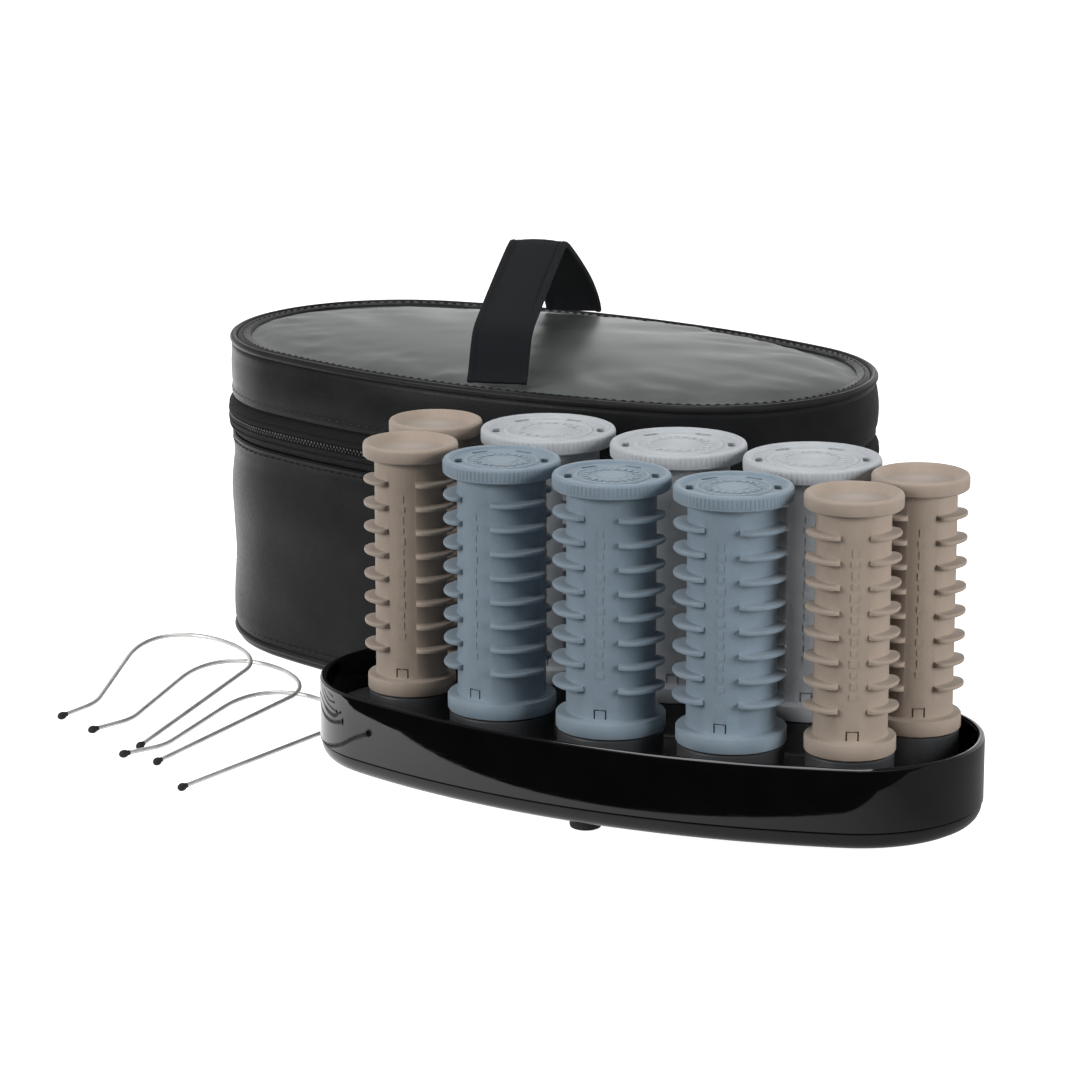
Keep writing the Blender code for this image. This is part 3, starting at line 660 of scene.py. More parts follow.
def build_rollers():
    cap_turn = math.radians(27)
    for kind, colour in (("small_roller", "beige"), ("medium_roller", "blue_grey"),
                         ("large_roller", "light_grey")):
        cap_radius = half_span(f"{kind}_1_cap")
        sleeve = sleeve_mesh(kind, cap_radius, colour)
        cap = cap_mesh(kind, cap_radius, colour)
        for number, turn in enumerate(ROLLER_TURNS[kind], 1):
            name = f"{kind}_{number}"
            place = Matrix.Translation((*middle(f"{name}_cap").xy, PEDESTAL_TOP + 0.0003))
            piece(f"{name}_sleeve", sleeve, name, [name],
                  place @ Matrix.Rotation(math.radians(turn), 4, "Z"), True)
            piece(f"{name}_top", cap, name, [f"{name}_cap"],
                  place @ Matrix.Rotation(cap_turn, 4, "Z"), True)


# ---------------------------------------------------------------- base

def rounded(low, high, radius, edge):
    """Profile of a plug with a rounded top edge, from its foot to the top's middle."""
    profile = [(radius, low)]
    for step in range(5):
        angle = math.pi / 2 * step / 4
        profile.append((radius - edge + edge * math.cos(angle), high - edge + edge * math.sin(angle)))
    return profile


def build_housing():
    outline = oval(BASE_OVAL, OUTLINE_POINTS)
    levels = [(0.0, SEAM_Z + 0.0004), (0.0, SEAM_Z + 0.0008), (0.0, 0.0130), (0.0, 0.0190),
              (0.0, RIM_TOP - 0.0013)]
    for step in range(1, 6):
        angle = math.pi * step / 6
        levels.append((0.0010 - 0.0010 * math.cos(angle), RIM_TOP - 0.0010 + 0.0010 * math.sin(angle)))
    levels += [(WALL, RIM_TOP - 0.0014), (WALL, 0.0190), (WALL, SEAM_Z + 0.0004)]
    shape = Shape("gloss")
    shape.skin([ring(outline, inset, z) for inset, z in levels], closed=True)
    back = BASE_OVAL[1]
    upright = Matrix.Rotation(-math.pi / 2, 4, "X")
    holes = [block((0.0160, 0.0100, 0.0120), Matrix.Translation((0, back, CONTROL_Z)) @ upright, 0.0008)]
    for x, radius in ((LENS_X, 0.0027), (GLAND_X, 0.0045)):
        hole = Shape("gloss")
        hole.turned([(radius, -0.0060), (radius, 0.0060)], 32, (x, back, CONTROL_Z), axis="Y")
        holes.append(hole.mesh("hole"))
    piece("housing_shell", cut(shape.mesh("housing_shell"), holes), "base", ["base_housing"],
          base_matrix)


def build_deck():
    outline = oval(BASE_OVAL, 160)
    shape = Shape("deck")
    shape.skin([ring(outline, WALL + 0.0004, z) for z in (DECK_BOTTOM, DECK_TOP)])
    added, bored = [], []
    for kind, turns in ROLLER_TURNS.items():
        radius = half_span(f"{kind}_1_cap") * CAP_TO_PEDESTAL
        post = half_span(f"{kind.replace('roller', 'post')}_1") - POST_FLANGE
        for number in range(1, len(turns) + 1):
            spot = middle(f"{kind}_{number}_cap") - base_place
            stand = Shape("deck")
            profile = [(radius + 0.0009, 0.0136), (radius + 0.0009, DECK_TOP + 0.0002),
                       (radius + 0.0003, DECK_TOP + 0.0006)]
            profile += rounded(DECK_TOP + 0.0012, PEDESTAL_TOP, radius, 0.0006)
            stand.turned(profile, 64, (spot.x, spot.y, 0))
            added.append(stand.mesh("stand"))
            hole = Shape("deck")
            hole.turned([(post + 0.0005, 0.0100), (post + 0.0005, 0.0300)], 48, (spot.x, spot.y, 0))
            bored.append(hole.mesh("hole"))
    notch = block((0.0170, 0.0145, 0.0100), Matrix.Translation((0, BASE_OVAL[1] + 0.0028, 0.0150)))
    deck = cut(cut(shape.mesh("deck"), added, "UNION"), bored + [notch])
    piece("deck_plate", deck, "base", ["deck_insert"], base_matrix)


def place_copies(mesh, name, node, count):
    """The same piece at every numbered node."""
    for number in range(1, count + 1):
        piece(f"{name}_{number}", mesh, "base", [f"{node}_{number}"], standing(f"{node}_{number}"),
              True)


def build_cover():
    outline = oval(BASE_OVAL, OUTLINE_POINTS)
    levels = [(0.0100, COVER_BOTTOM), (0.0060, COVER_BOTTOM), (0.0042, 0.0027), (0.0030, 0.0030),
              (0.0019, 0.0036),
              (0.0011, 0.0045), (0.0006, 0.0056), (0.0004, 0.0066), (0.0004, 0.0073), (0.0006, SEAM_Z),
              (0.0024, SEAM_Z), (0.0030, 0.0052), (0.0048, 0.0042)]
    shape = Shape("satin")
    shape.skin([ring(outline, inset, z) for inset, z in levels])
    slots = []
    for side in (-1, 1):
        for number in range(7):
            place = Matrix.Translation((side * (0.046 + 0.0045 * (number - 3)), 0, COVER_BOTTOM))
            slots.append(block((0.0018, 0.0300, 0.0016), place, 0.0008))
    piece("cover_tray", cut(shape.mesh("cover_tray"), slots), "base", ["bottom_cover"],
          base_matrix)


def build_feet_and_screws():
    foot = Shape("rubber")
    foot.turned([(0.0042, 0.0023), (0.0042, 0.0007), (0.0040, 0.0002), (0.0036, 0.0), (0.0020, 0.0),
                 (0.0017, 0.0003)],
                40)
    place_copies(foot.mesh("foot"), "rubber_foot", "foot", 4)

    screw = Shape("steel")
    top = COVER_BOTTOM - 0.0003
    profile = [(0.0013, 0.0100), (0.0013, top), (0.0030, top), (0.0030, top - 0.0007), (0.0026, top - 0.0011),
               (0.0018, top - 0.0012)]
    screw.turned(profile, 40)
    cross = [block((0.0026, 0.0006, 0.0012), Matrix.Translation((0, 0, top - 0.0012)) @ Matrix.Rotation(turn,
                                                                                                        4,
                                                                                                        "Z"))
             for turn in (0, math.pi / 2)]
    place_copies(cut(screw.mesh("screw"), cross), "screw", "cover_screw", 4)


def build_posts():
    for kind, turns in ROLLER_TURNS.items():
        node = kind.replace("roller", "post")
        low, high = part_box(f"{node}_1")
        radius = half_span(f"{node}_1") - POST_FLANGE
        shape = Shape("aluminium")
        profile = [(radius + POST_FLANGE, low.z), (radius + POST_FLANGE, low.z + 0.0009),
                   (radius + 0.0003, low.z + 0.0010), (radius, low.z + 0.0014)]
        profile += rounded(low.z + 0.0020, high.z, radius, 0.0016)
        profile += [(radius * 0.45, high.z), (radius * 0.42, high.z - 0.0006)]
        shape.turned(profile, 72)
        place_copies(shape.mesh(node), kind.replace("roller", "heat_post"), node, len(turns))


def back_wall(x=0.0, sunk=0.0):
    """Place on the middle line of the base's back wall."""
    return base_matrix @ Matrix.Translation((x, BASE_OVAL[1] - sunk, CONTROL_Z))


def build_switch():
    at = back_wall() @ Matrix.Rotation(-math.pi / 2, 4, "X")
    frame_body = block((0.0180, 0.0124, 0.0053), Matrix.Translation((0, 0, -0.00135)), 0.0012)
    outer = block((0.0300, 0.0300, 0.0100), Matrix.Translation((0, 0, -0.0047)), 0.0)
    skirt = block((0.0154, 0.0094, 0.0300), edge=0.0006)
    collar = cut(outer, [skirt])
    well = block((0.0130, 0.0072, 0.0300), edge=0.0006)
    mesh = cut(frame_body, [collar, well])
    mesh.materials.clear()
    mesh.materials.append(looks["satin"])
    piece("switch_frame", mesh, "base", ["switch_bezel"], at)

    outline = []
    for step in range(17):
        share = step / 8 - 1
        outline.append((0.0059 * share, 0.0004 + 0.0012 * share * share - 0.0003 * max(0,
                                                                                       abs(share) - 0.9) * 10))
    outline += [(0.0056, -0.0010), (0.0, -0.0022), (-0.0056, -0.0010)]
    shape = Shape("gloss")
    rings = []
    for side, shrink in ((-0.0032, 0.93), (-0.0029, 1.0), (0.0029, 1.0), (0.0032, 0.93)):
        rings.append([(x * shrink, y - (1 - shrink) * 0.003, side) for x, y in outline])
    shape.skin(rings)
    rocker_at = back_wall(sunk=0.0004) @ Matrix.Rotation(SWITCH_TILT, 4, "Z")
    piece("rocker", shape.mesh("rocker"), "switch_rocker", ["switch_rocker"], rocker_at)


def build_lens_and_gland():
    shape = Shape("lens")
    profile = [(0.0024, -0.0028), (0.0024, -0.0004), (0.0033, -0.0004), (0.0033, 0.0001)]
    profile += [(0.0033 * math.cos(a), 0.0001 + 0.0009 * math.sin(a)) for a in (0.3, 0.6, 0.9, 1.2, 1.45)]
    shape.turned(profile, 48, axis="Y")
    piece("lens", shape.mesh("lens"), "base", ["indicator_lens"], back_wall(LENS_X))

    shape = Shape("rubber")
    profile = [(0.0026, -0.0034), (0.0042, -0.0034), (0.0042, -0.0002), (0.0058, -0.0002), (0.0058, 0.0012),
               (0.0054, 0.0016), (0.0045, 0.0018)]
    for rib in range(3):
        z0 = 0.0020 + rib * 0.0010
        profile += [(0.0043 - rib * 0.0001, z0), (0.0043 - rib * 0.0001, z0 + 0.0005), (0.0038, z0 + 0.0006),
                    (0.0038, z0 + 0.0009)]
    profile += [(0.0037, 0.0050), (0.0026, 0.0050)]
    shape.turned(profile, 48, closed=True, axis="Y")
    piece("gland", shape.mesh("gland"), "base", ["cord_gland"], back_wall(GLAND_X))


def dress_heater():
    """The heater's own shapes are right, and only their finish changes."""
    for name, look in (("heater_plate", "aluminium"), ("heater_rod_left", "steel"),
                       ("heater_rod_right", "steel"),
                       ("thermostat", "brass")):
        node = frame["nodes"][name]
        node.data.materials.clear()
        node.data.materials.append(looks[look])


# ---------------------------------------------------------------- wire clips

def clip_path(turn, rise):
    """Centre line of a clip: long leg, round closed end, short leg and its bent foot."""
    shoulder, bend, tip = Vector((SHORT_SHOULDER, 0)), Vector(SHORT_BEND), Vector(SHORT_TIP)
    flat = [Vector((0, -LONG_LEG * share)) for share in (1, 0.96, 0.75, 0.5, 0.25, 0.08)]
    first, second = Vector((0, LONG_HANDLE)), shoulder + (shoulder - bend).normalized() * SHORT_HANDLE
    for step in range(41):
        t = step / 40
        flat.append(3 * (1 - t) ** 2 * t * first + 3 * (1 - t) * t ** 2 * second + t ** 3 * shoulder)
    flat += [shoulder.lerp(bend, share) for share in (0.15, 0.5, 0.85)]
    for step in range(9):
        t = step / 8
        start, stop = shoulder.lerp(bend, 0.88), bend.lerp(tip, 0.30)
        flat.append(start * (1 - t) ** 2 + bend * 2 * t * (1 - t) + stop * t * t)
    flat += [bend.lerp(tip, 0.6), bend.lerp(tip, 0.96), tip]
    crown = max(point.y for point in flat)
    route = []
    for point in flat:
        height = TIP_RADIUS + rise * max(0.0, point.y + LONG_LEG) / (crown + LONG_LEG)
        across = Vector((-math.cos(turn), -math.sin(turn))) * point.x
        along = Vector((-math.sin(turn), math.cos(turn))) * point.y
        route.append(Vector((*(across + along), height)))
    return route


def bead(shape, end, inner):
    """Dipped tip: a drop about the wire's end, drawn out along it."""
    way = (Vector(inner) - Vector(end)).normalized()
    path, radii = [], []
    for step in range(13):
        t = step / 12
        path.append(Vector(end) + way * (-0.0013 + 0.0033 * t))
        swell = math.sqrt(max(0.0, 1 - (2 * min(t / 0.95, 1) - 1) ** 2)) * TIP_RADIUS
        radii.append(max(swell, 0.0002 if t < 0.5 else WIRE_RADIUS * 1.12))
    shape.tube(path, radii, 20)


def build_clips():
    for number, (x, y, turn, rise) in enumerate(CLIPS, 1):
        route = clip_path(turn, rise)
        shape = Shape("wire", "rubber")
        shape.tube(route, WIRE_RADIUS, 14)
        shape.slot = 1
        bead(shape, route[0], route[1])
        bead(shape, route[-1], route[-2])
        piece(f"clip_{number}", shape.mesh(f"clip_{number}"), f"wire_clip_{number}",
              [f"wire_clip_{number}"], Matrix.Translation(base_place + Vector((x, y, 0))))


# ---------------------------------------------------------------- carry case

def stitches(shape, spots, length, radius, every):
    """Row of thread dashes along a closed line of (place, outward) pairs."""
    total, marks = 0.0, []
    for n in range(len(spots)):
        here, out = spots[n]
        there = spots[(n + 1) % len(spots)][0]
        gap = (there - here).length
        while len(marks) * every < total + gap:
            share = (len(marks) * every - total) / gap
            marks.append((here.lerp(there, share), (there - here).normalized(), out))
        total += gap
    for spot, way, out in marks:
        path = [spot + way * (length * (t - 0.5)) + out * (radius * 1.6 * (1 - (2 * t - 1) ** 2) - radius * 0.7)
                for t in (0, 0.25, 0.5, 0.75, 1)]
        shape.tube(path, [radius * 0.7, radius, radius, radius, radius * 0.7], 5)


def line_round(inset, z, count=400):
    """Closed line on the case's outline, as (place, outward) pairs."""
    return [(Vector((*(spot - way * inset), z)), Vector((*way, 0.0)).normalized())
            for spot, way, _ in oval(CASE_OVAL, count)]


def piping(shape, inset, z, radius, sides):
    shape.tube([spot for spot, _ in line_round(inset, z, CASE_POINTS)], radius, sides, True)


def slack(s, z, size):
    """Slow unevenness of soft cloth round the case."""
    angle = s * 11.9
    place = Vector((math.cos(angle) * 2.2, math.sin(angle) * 2.2, z * 55))
    return size * noise.noise(place)


def cloth_shell(shape, outer, inner, sag, foot=False):
    """Slack outside, then the plain lining inside it. Rows of point numbers, from the outside's start."""
    outline = oval(CASE_OVAL, CASE_POINTS)
    rows = []
    for inset, z in outer:
        rows.append(shape.add([(*(spot - way * (inset - slack(s, z, sag(z)))), z) for spot, way,
                               s in outline]))
    for lower, upper in zip(rows, rows[1:]):
        shape.join(lower, upper)
    if foot:
        shape.face(reversed(rows[0]))
    shape.slot = 1
    for inset, z in inner:
        rows.append(shape.add(ring(outline, inset, z)))
        shape.join(rows[-2], rows[-1])
    return rows


def build_tub():
    outer = [(0.0040, 0.0), (0.0022, 0.0002), (0.0010, 0.0009), (0.0005, 0.0018)]
    steps = 26
    outer += [(0.0004 - 0.0005 * math.sin(math.pi * step / steps), 0.0044 + (TUB_TOP - 0.0060) * step / steps)
              for step in range(steps + 1)]
    outer += [(0.0000, TUB_TOP - 0.0006), (0.0004, TUB_TOP), (0.0012, TUB_TOP + 0.0001)]
    inner = [(0.0021, TUB_TOP), (0.0021, ZIP_Z - 0.0003), (CASE_WALL, ZIP_Z - 0.0003), (CASE_WALL, 0.0450),
             (CASE_WALL, 0.0250), (CASE_WALL, 0.0045), (CASE_WALL + 0.0007, 0.0030),
             (CASE_WALL + 0.0020, 0.0020),
             (0.0200, 0.0020)]
    shape = Shape("vinyl", "lining", "piping", "thread")
    rows = cloth_shell(shape, outer, inner, lambda z: 0.0011 if 0.006 < z < TUB_TOP - 0.004 else 0.0, True)
    shape.face(rows[-1])
    shape.slot = 2
    piping(shape, 0.0006, 0.0032, 0.0010, 10)
    shape.slot = 3
    stitches(shape, line_round(0.0003, 0.0056), STITCH_LENGTH, 0.00016, STITCH_PITCH)
    stitches(shape, line_round(0.0002, TUB_TOP - 0.0021), STITCH_LENGTH, 0.00018, STITCH_PITCH)
    piece("tub_cloth", shape.mesh("tub_cloth", 40), "carry_case", ["case_tub"], case_matrix)


def build_tape(name, node, body, side):
    """One half of the zip: a bulging woven tape, its cord and the teeth along its edge."""
    outline = oval(CASE_OVAL, CASE_POINTS)
    flap = TUB_TOP if side < 0 else LID_BOTTOM
    far = abs(flap - ZIP_Z)
    profile = [(0.0010, far - 0.0002), (0.0002, far - 0.0010), (-0.0006, far - 0.0019),
               (-0.0009, far - 0.0026),
               (-0.0006, far - 0.0030), (-0.0010, 0.0020), (-0.0011, 0.0012), (-0.0006, 0.0009),
               (-0.0006, 0.0004),
               (0.0012, 0.0004), (0.0018, far - 0.0002)]
    shape = Shape("tape", "dark_metal")
    rings, uvs = [], []
    for n, (inset, rise) in enumerate(profile):
        rings.append(ring(outline, inset, ZIP_Z + side * rise))
        uvs.append([(s, n * 0.0011) for _, _, s in outline])
    shape.skin(rings, closed=True, uvs=uvs)
    shape.slot = 1
    teeth = oval(CASE_OVAL, 400)
    for n, (spot, way, _) in enumerate(teeth):
        if spot.y > 0 and abs(spot.x) < HINGE_HALF:
            continue
        along = Vector((-way.y, way.x))
        shift = along * (0.00066 if side > 0 else 0.0)
        start = Vector((*(spot + way * 0.0003 + shift), ZIP_Z + side * 0.0010))
        stop = Vector((*(spot + way * 0.0006 + shift), ZIP_Z + side * 0.0002))
        path = [start, start.lerp(stop, 0.5) + Vector((*(way * 0.0003), 0)), stop]
        shape.tube(path, [0.00026, 0.00034, 0.00030], 6)
    piece(name, shape.mesh(name, 50), body, [node], case_matrix)


def build_lid():
    wall = [(0.0012, LID_BOTTOM - 0.0001), (0.0004, LID_BOTTOM), (0.0, LID_BOTTOM + 0.0007)]
    steps = 9
    wall += [(0.0001 - 0.0004 * math.sin(math.pi * step / steps), LID_BOTTOM + 0.0020 + 0.0125 * step / steps)
             for step in range(steps + 1)]
    wall += [(0.0002, LID_TOP - 0.0028), (0.0008, LID_TOP - 0.0021)]
    top = [(0.0016, LID_TOP - 0.0009), (0.0024, LID_TOP - 0.0003), (0.0036, LID_TOP - 0.0002),
           (0.0048, LID_TOP - 0.0004), (RIM_WIDTH - 0.0002, LID_TOP - 0.0006), (RIM_WIDTH, LID_TOP - 0.0009)]
    inner = [(RIM_WIDTH, LID_TOP - 0.0021), (CASE_WALL, LID_TOP - 0.0030), (CASE_WALL, ZIP_Z + 0.0003),
             (0.0021, ZIP_Z + 0.0003), (0.0021, LID_BOTTOM)]

    def sag(z):
        if LID_BOTTOM + 0.002 < z < LID_TOP - 0.004:
            return 0.0007
        return 0.0004 if z > LID_TOP - 0.0008 else 0.0

    shape = Shape("vinyl", "lining", "piping", "thread")
    rows = cloth_shell(shape, wall + top, inner, sag)
    shape.join(rows[-1], rows[0])
    shape.slot = 2
    piping(shape, 0.0007, LID_TOP - 0.0011, 0.0011, 12)
    shape.slot = 3
    stitches(shape, line_round(0.0002, LID_BOTTOM + 0.0022), STITCH_LENGTH, 0.00018, STITCH_PITCH)
    rim_line = [(spot, Vector((0, 0, 1))) for spot, _ in line_round(0.0035, LID_TOP - 0.0002)]
    stitches(shape, rim_line, 0.0017, 0.00012, 0.0027)
    piece("lid_cloth", shape.mesh("lid_cloth", 40), "case_lid", ["case_lid"], case_matrix)


def window_mesh():
    """Flat sheet of even triangles inside the rim, with its border on the rim's inner edge."""
    inset, gap = RIM_WIDTH - 0.0008, FILM_GAP
    border = oval(CASE_OVAL, 180)
    edge = [spot - way * inset for spot, way, _ in border]
    points = list(edge)
    across, rows = 0.19, 0.11
    for row in range(int(rows / gap / FILM_ROW) + 1):
        y = -rows / 2 + row * gap * FILM_ROW
        for column in range(int(across / gap) + 2):
            x = -across / 2 + column * gap + (gap / 2 if row % 2 else 0)
            spot = Vector((x, y))
            if all((spot - here).dot(way) < -gap * 0.55 for here, (_, way, _) in zip(edge, border)):
                points.append(spot)
    loop = [(n, (n + 1) % len(edge)) for n in range(len(edge))]
    flat, _, faces, *_ = geometry.delaunay_2d_cdt(points, loop, [], 1, 1e-6)
    made = bpy.data.meshes.new("window_sheet")
    made.from_pydata([(spot.x, spot.y, LID_TOP - 0.0012) for spot in flat], [], faces)
    made.materials.append(looks["film"])
    made.shade_smooth()
    return made, len(edge)


def crown(x, y):
    """Share of the slack window's rise: whole in the middle, none at the border."""
    return max(0.0, 1 - (x / FILM_HALVES[0]) ** 2 - (y / FILM_HALVES[1]) ** 2)


def settle(sheet, pinned):
    """Cloth run on the sheet, which is cut a little larger than the rim and is lifted by the air."""
    group = sheet.vertex_groups.new(name="border")
    group.add(list(range(pinned)), 1.0, "REPLACE")
    sheet.shape_key_add(name="Basis")
    cut_size = sheet.shape_key_add(name="cut")
    for point, key in zip(sheet.data.vertices, cut_size.data):
        key.co = point.co * FILM_SPARE
    cloth = sheet.modifiers.new("cloth", "CLOTH")
    rules = cloth.settings
    rules.quality = 8
    rules.mass = 0.25
    rules.tension_stiffness = 40
    rules.compression_stiffness = 20
    rules.shear_stiffness = 15
    rules.bending_stiffness = 1.2
    rules.air_damping = 3
    rules.vertex_group_mass = "border"
    rules.rest_shape_key = cut_size
    rules.use_pressure = True
    rules.uniform_pressure_force = 1.2
    rules.effector_weights.gravity = 0.0
    cloth.collision_settings.use_collision = False
    scene = bpy.context.scene
    cloth.point_cache.frame_end = FILM_FRAMES
    for step in range(1, FILM_FRAMES + 1):
        scene.frame_set(step)
    settled = bpy.data.meshes.new_from_object(sheet.evaluated_get(bpy.context.evaluated_depsgraph_get()))
    scene.frame_set(1)
    sheet.modifiers.remove(cloth)
    sheet.shape_key_clear()
    return settled


def build_window():
    """Clear sheet in the lid: its slack crown and folds, settled as cloth."""
    mesh, pinned = window_mesh()
    for point in mesh.vertices:
        x, y, _ = point.co
        lift = crown(x, y)
        full = 0.0042 + 0.0014 * max(-1.0, min(1.0, (x + y) / 0.060))
        folds = 0.0006 * noise.noise(Vector((x * 60, y * 60, 3.0))) * min(1.0, lift * 5)
        gathers = 0.0010 * noise.noise(Vector((x * 150, y * 150, 7.0))) * min(1.0, lift * 7) * (1 - lift) ** 2
        point.co.z += full * lift ** 0.42 + folds + gathers
    sheet = bpy.data.objects.new("window_settling", mesh)
    bpy.context.scene.collection.objects.link(sheet)
    settled = settle(sheet, pinned)
    bpy.data.objects.remove(sheet)
    for before, after in zip(mesh.vertices, settled.vertices):
        move = after.co - before.co
        if move.length > FILM_MOST_MOVE:
            move *= FILM_MOST_MOVE / move.length
        before.co += move
    mesh.materials.clear()
    mesh.materials.append(looks["film"])
    window = piece("window_film", mesh, "case_lid", ["lid_window"], case_matrix)


def build_hinge():
    """Cloth hinge over the zip's gap at the back of the case."""
    outline = [point for point in oval(CASE_OVAL, 600) if point[0].y > 0 and abs(point[0].x) < HINGE_HALF + 0.003]
    outline.sort(key=lambda point: point[0].x)
    shape = Shape("vinyl")
    levels = 14
    rings = []
    low, high = TUB_TOP - 0.0025, LID_BOTTOM + 0.0025
    for inset, order in ((-0.0003, range(levels + 1)), (-0.0009, range(levels, -1, -1))):
        for step in order:
            share = step / levels
            z = low + (high - low) * share
            bulge = BULGE * min(1.0, 4 * share * (1 - share) * 1.6)
            rings.append([(*(spot - way * (inset - bulge)), z) for spot, way, _ in outline])
    rows = shape.skin(rings, closed=True, capped=False, round_=False)
    for end in (0, -1):
        shape.face([row[end] for row in rows])
    mesh = shape.mesh("hinge_cloth")
    hinge = piece("hinge_cloth", mesh, None, matrix=case_matrix)
    end = case_matrix @ Vector((0, 0.0589, ZIP_Z + 0.0035))
    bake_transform(hinge)


def build_strap():
    """Flat handle with bound edges; it is pressed into a crease at its top."""
    front, back = Vector(STRAP_ENDS[0]), Vector(STRAP_ENDS[1])
    span = (back - front).length
    run = smooth_path([(share * span, height) for share, height in STRAP_PROFILE], 6)
    along = (back - front).normalized()
    across = Vector((-along.y, along.x))
    half, thick = STRAP_WIDTH / 2, STRAP_THICKNESS
    edge = [(-1.0, 0.15), (-0.995, 0.7), (-0.97, 1.25), (-0.90, 1.35), (-0.83, 1.25), (-0.80, 0.95),
            (-0.78, 0.85),
            (-0.5, 0.95), (-0.2, 1.0)]
    edge += [(-side, height) for side, height in reversed(edge)]
    section = edge + [(side, -height) for side, height in reversed(edge)]
    rings, uvs, travelled = [], [], 0.0
    for n, spot in enumerate(run):
        before, after = run[max(n - 1, 0)], run[min(n + 1, len(run) - 1)]
        way = (after - before).normalized()
        travelled += (spot - run[max(n - 1, 0)]).length
        cup = STRAP_CUP * math.sin(math.pi * min(1.0, travelled / 0.11))
        row, marks = [], []
        for side, height in section:
            out = thick * height - cup * side * side
            distance = spot.x - way.y * out
            place = front + along * distance + across * (side * half)
            row.append((*place, LID_TOP + spot.y + way.x * out))
            marks.append((travelled, side * half))
        rings.append(row)
        uvs.append(marks)
    shape = Shape("strap", "thread")
    shape.skin(rings, uvs=uvs)
    shape.slot = 1
    for side in (-0.72, 0.72):
        total, step = 0.0, STRAP_STITCH_PITCH
        for n in range(1, len(run)):
            gap = (run[n] - run[n - 1]).length
            while step < total + gap:
                share = (step - total) / gap
                spot = run[n - 1].lerp(run[n], share)
                way = (run[n] - run[n - 1]).normalized()
                path = []
                for t in (-1, 0, 1):
                    out = thick * 0.95 - STRAP_CUP * side * side * 0.9 + (0.0001 if t == 0 else -0.00006)
                    distance = spot.x + way.x * 0.0008 * t - way.y * out
                    place = front + along * distance + across * (side * half)
                    path.append((*place, LID_TOP + spot.y + way.y * 0.0008 * t + way.x * out))
                shape.tube(path, 0.00013, 5)
                step += STRAP_STITCH_PITCH
            total += gap
    piece("strap_webbing", shape.mesh("strap_webbing", 45), "case_lid", ["carry_strap"],
          case_matrix)


def build_slider(at, inner):
    """Body of the slider, its bridge and the staple that the pull hangs from."""
    shape = Shape("dark_metal")
    for low, high, long, wide in ((0.0, 0.0009, 1.0, 1.0), (0.0009, 0.0014, 0.93, 0.80)):
        rings = []
        for share, narrow in ((-1, 0.42), (-0.92, 0.52), (-0.6, 0.82), (-0.2, 0.97), (0.2, 1.0), (0.7, 0.98),
                              (0.92, 0.86), (1, 0.66)):
            angle = share * SLIDER_LENGTH / 2 * long / inner
            half = SLIDER_HALF_WIDTH * narrow * wide
            section = [(inner + low, -half), (inner + high - 0.0002, -half), (inner + high, -half + 0.0003),
                       (inner + high, half - 0.0003), (inner + high - 0.0002, half), (inner + low, half)]
            rings.append([(r * math.cos(angle), r * math.sin(angle), z) for r, z in section])
        shape.skin(rings)
    bridge = []
    for step in range(9):
        t = step / 8
        reach = inner + 0.0011 + 0.0007 * math.sin(math.pi * t) ** 0.6
        bridge.append((reach, 0.0, -0.0030 + 0.0056 * t))
    shape.tube(bridge, 0.00055, 10)
    root, pin = inner + 0.0008, inner + PIN_REACH
    staple = [(root, -0.0019), (pin - 0.0006, -0.0019), (pin, -0.0014), (pin, 0.0014), (pin - 0.0006, 0.0019),
              (root, 0.0019)]
    shape.tube([(x, y, PIN_Z) for x, y in staple], PIN_RADIUS, 10)
    piece("slider_metal", shape.mesh("slider_metal"), "zip_slider", ["zip_slider"], at)


def build_pull(at, pin):
    """Flat pull with an eye, and the collar that turns round the staple's pin."""
    shape = Shape("dark_metal")
    outline, hole = [], []
    for step in range(32):
        angle = math.tau * step / 32
        sy, sz = math.cos(angle), math.sin(angle)
        wide = 0.0021 * (abs(sy) ** 0.5) * (1 if sy >= 0 else -1)
        tall = 0.0065 * (abs(sz) ** 0.5) * (1 if sz >= 0 else -1)
        outline.append((wide, tall - 0.0060 + 0.0010))
        hole.append((0.0011 * sy, -0.0079 + 0.0020 * sz))
    rings = []
    for x, line, shrink in ((-0.0004, outline, 0.94), (-0.0006, outline, 0.86), (-0.0006, hole, 1.15),
                            (-0.0004, hole, 1.0), (0.0004, hole, 1.0), (0.0006, hole, 1.15),
                            (0.0006, outline, 0.86),
                            (0.0004, outline, 0.94)):
        middle_z = sum(z for _, z in line) / len(line)
        rings.append([(pin + x, y * shrink, (z - middle_z) * shrink + middle_z - 0.0009) for y, z in line])
    shape.skin(rings, closed=True)
    collar = []
    for y, radius in ((-0.0012, 0.0011), (-0.0012, 0.0006), (0.0012, 0.0006), (0.0012, 0.0011)):
        collar.append([(pin + radius * math.cos(math.tau * n / 20), y,
                        PIN_Z + radius * math.sin(math.tau * n / 20))
                       for n in range(20)])
    shape.skin(collar, closed=True)
    piece("pull_metal", shape.mesh("pull_metal"), "zip_puller", ["zip_puller"], at)


def build_zip_slider():
    """Slider and pull, both about the end arc's centre."""
    inner = CASE_OVAL[2] + BULGE + SLIDER_GAP
    at = case_matrix @ Matrix.Translation((CASE_OVAL[0] - CASE_OVAL[2], 0, ZIP_Z))
    at = at @ Matrix.Rotation(SLIDER_TURN, 4, "Z")
    build_slider(at, inner)
    build_pull(at, inner + PIN_REACH)


# ---------------------------------------------------------------- floor, light and camera

def card(name, look, low, high, z):
    """Level rectangle that belongs to the studio."""
    mesh = bpy.data.meshes.new(name)
    mesh.from_pydata([(low, low, z), (high, low, z), (high, high, z), (low, high, z)], [], [(0, 1, 2, 3)])
    mesh.materials.append(look.material)
    made = bpy.data.objects.new(name, mesh)
    bpy.context.scene.collection.objects.link(made)
    return made


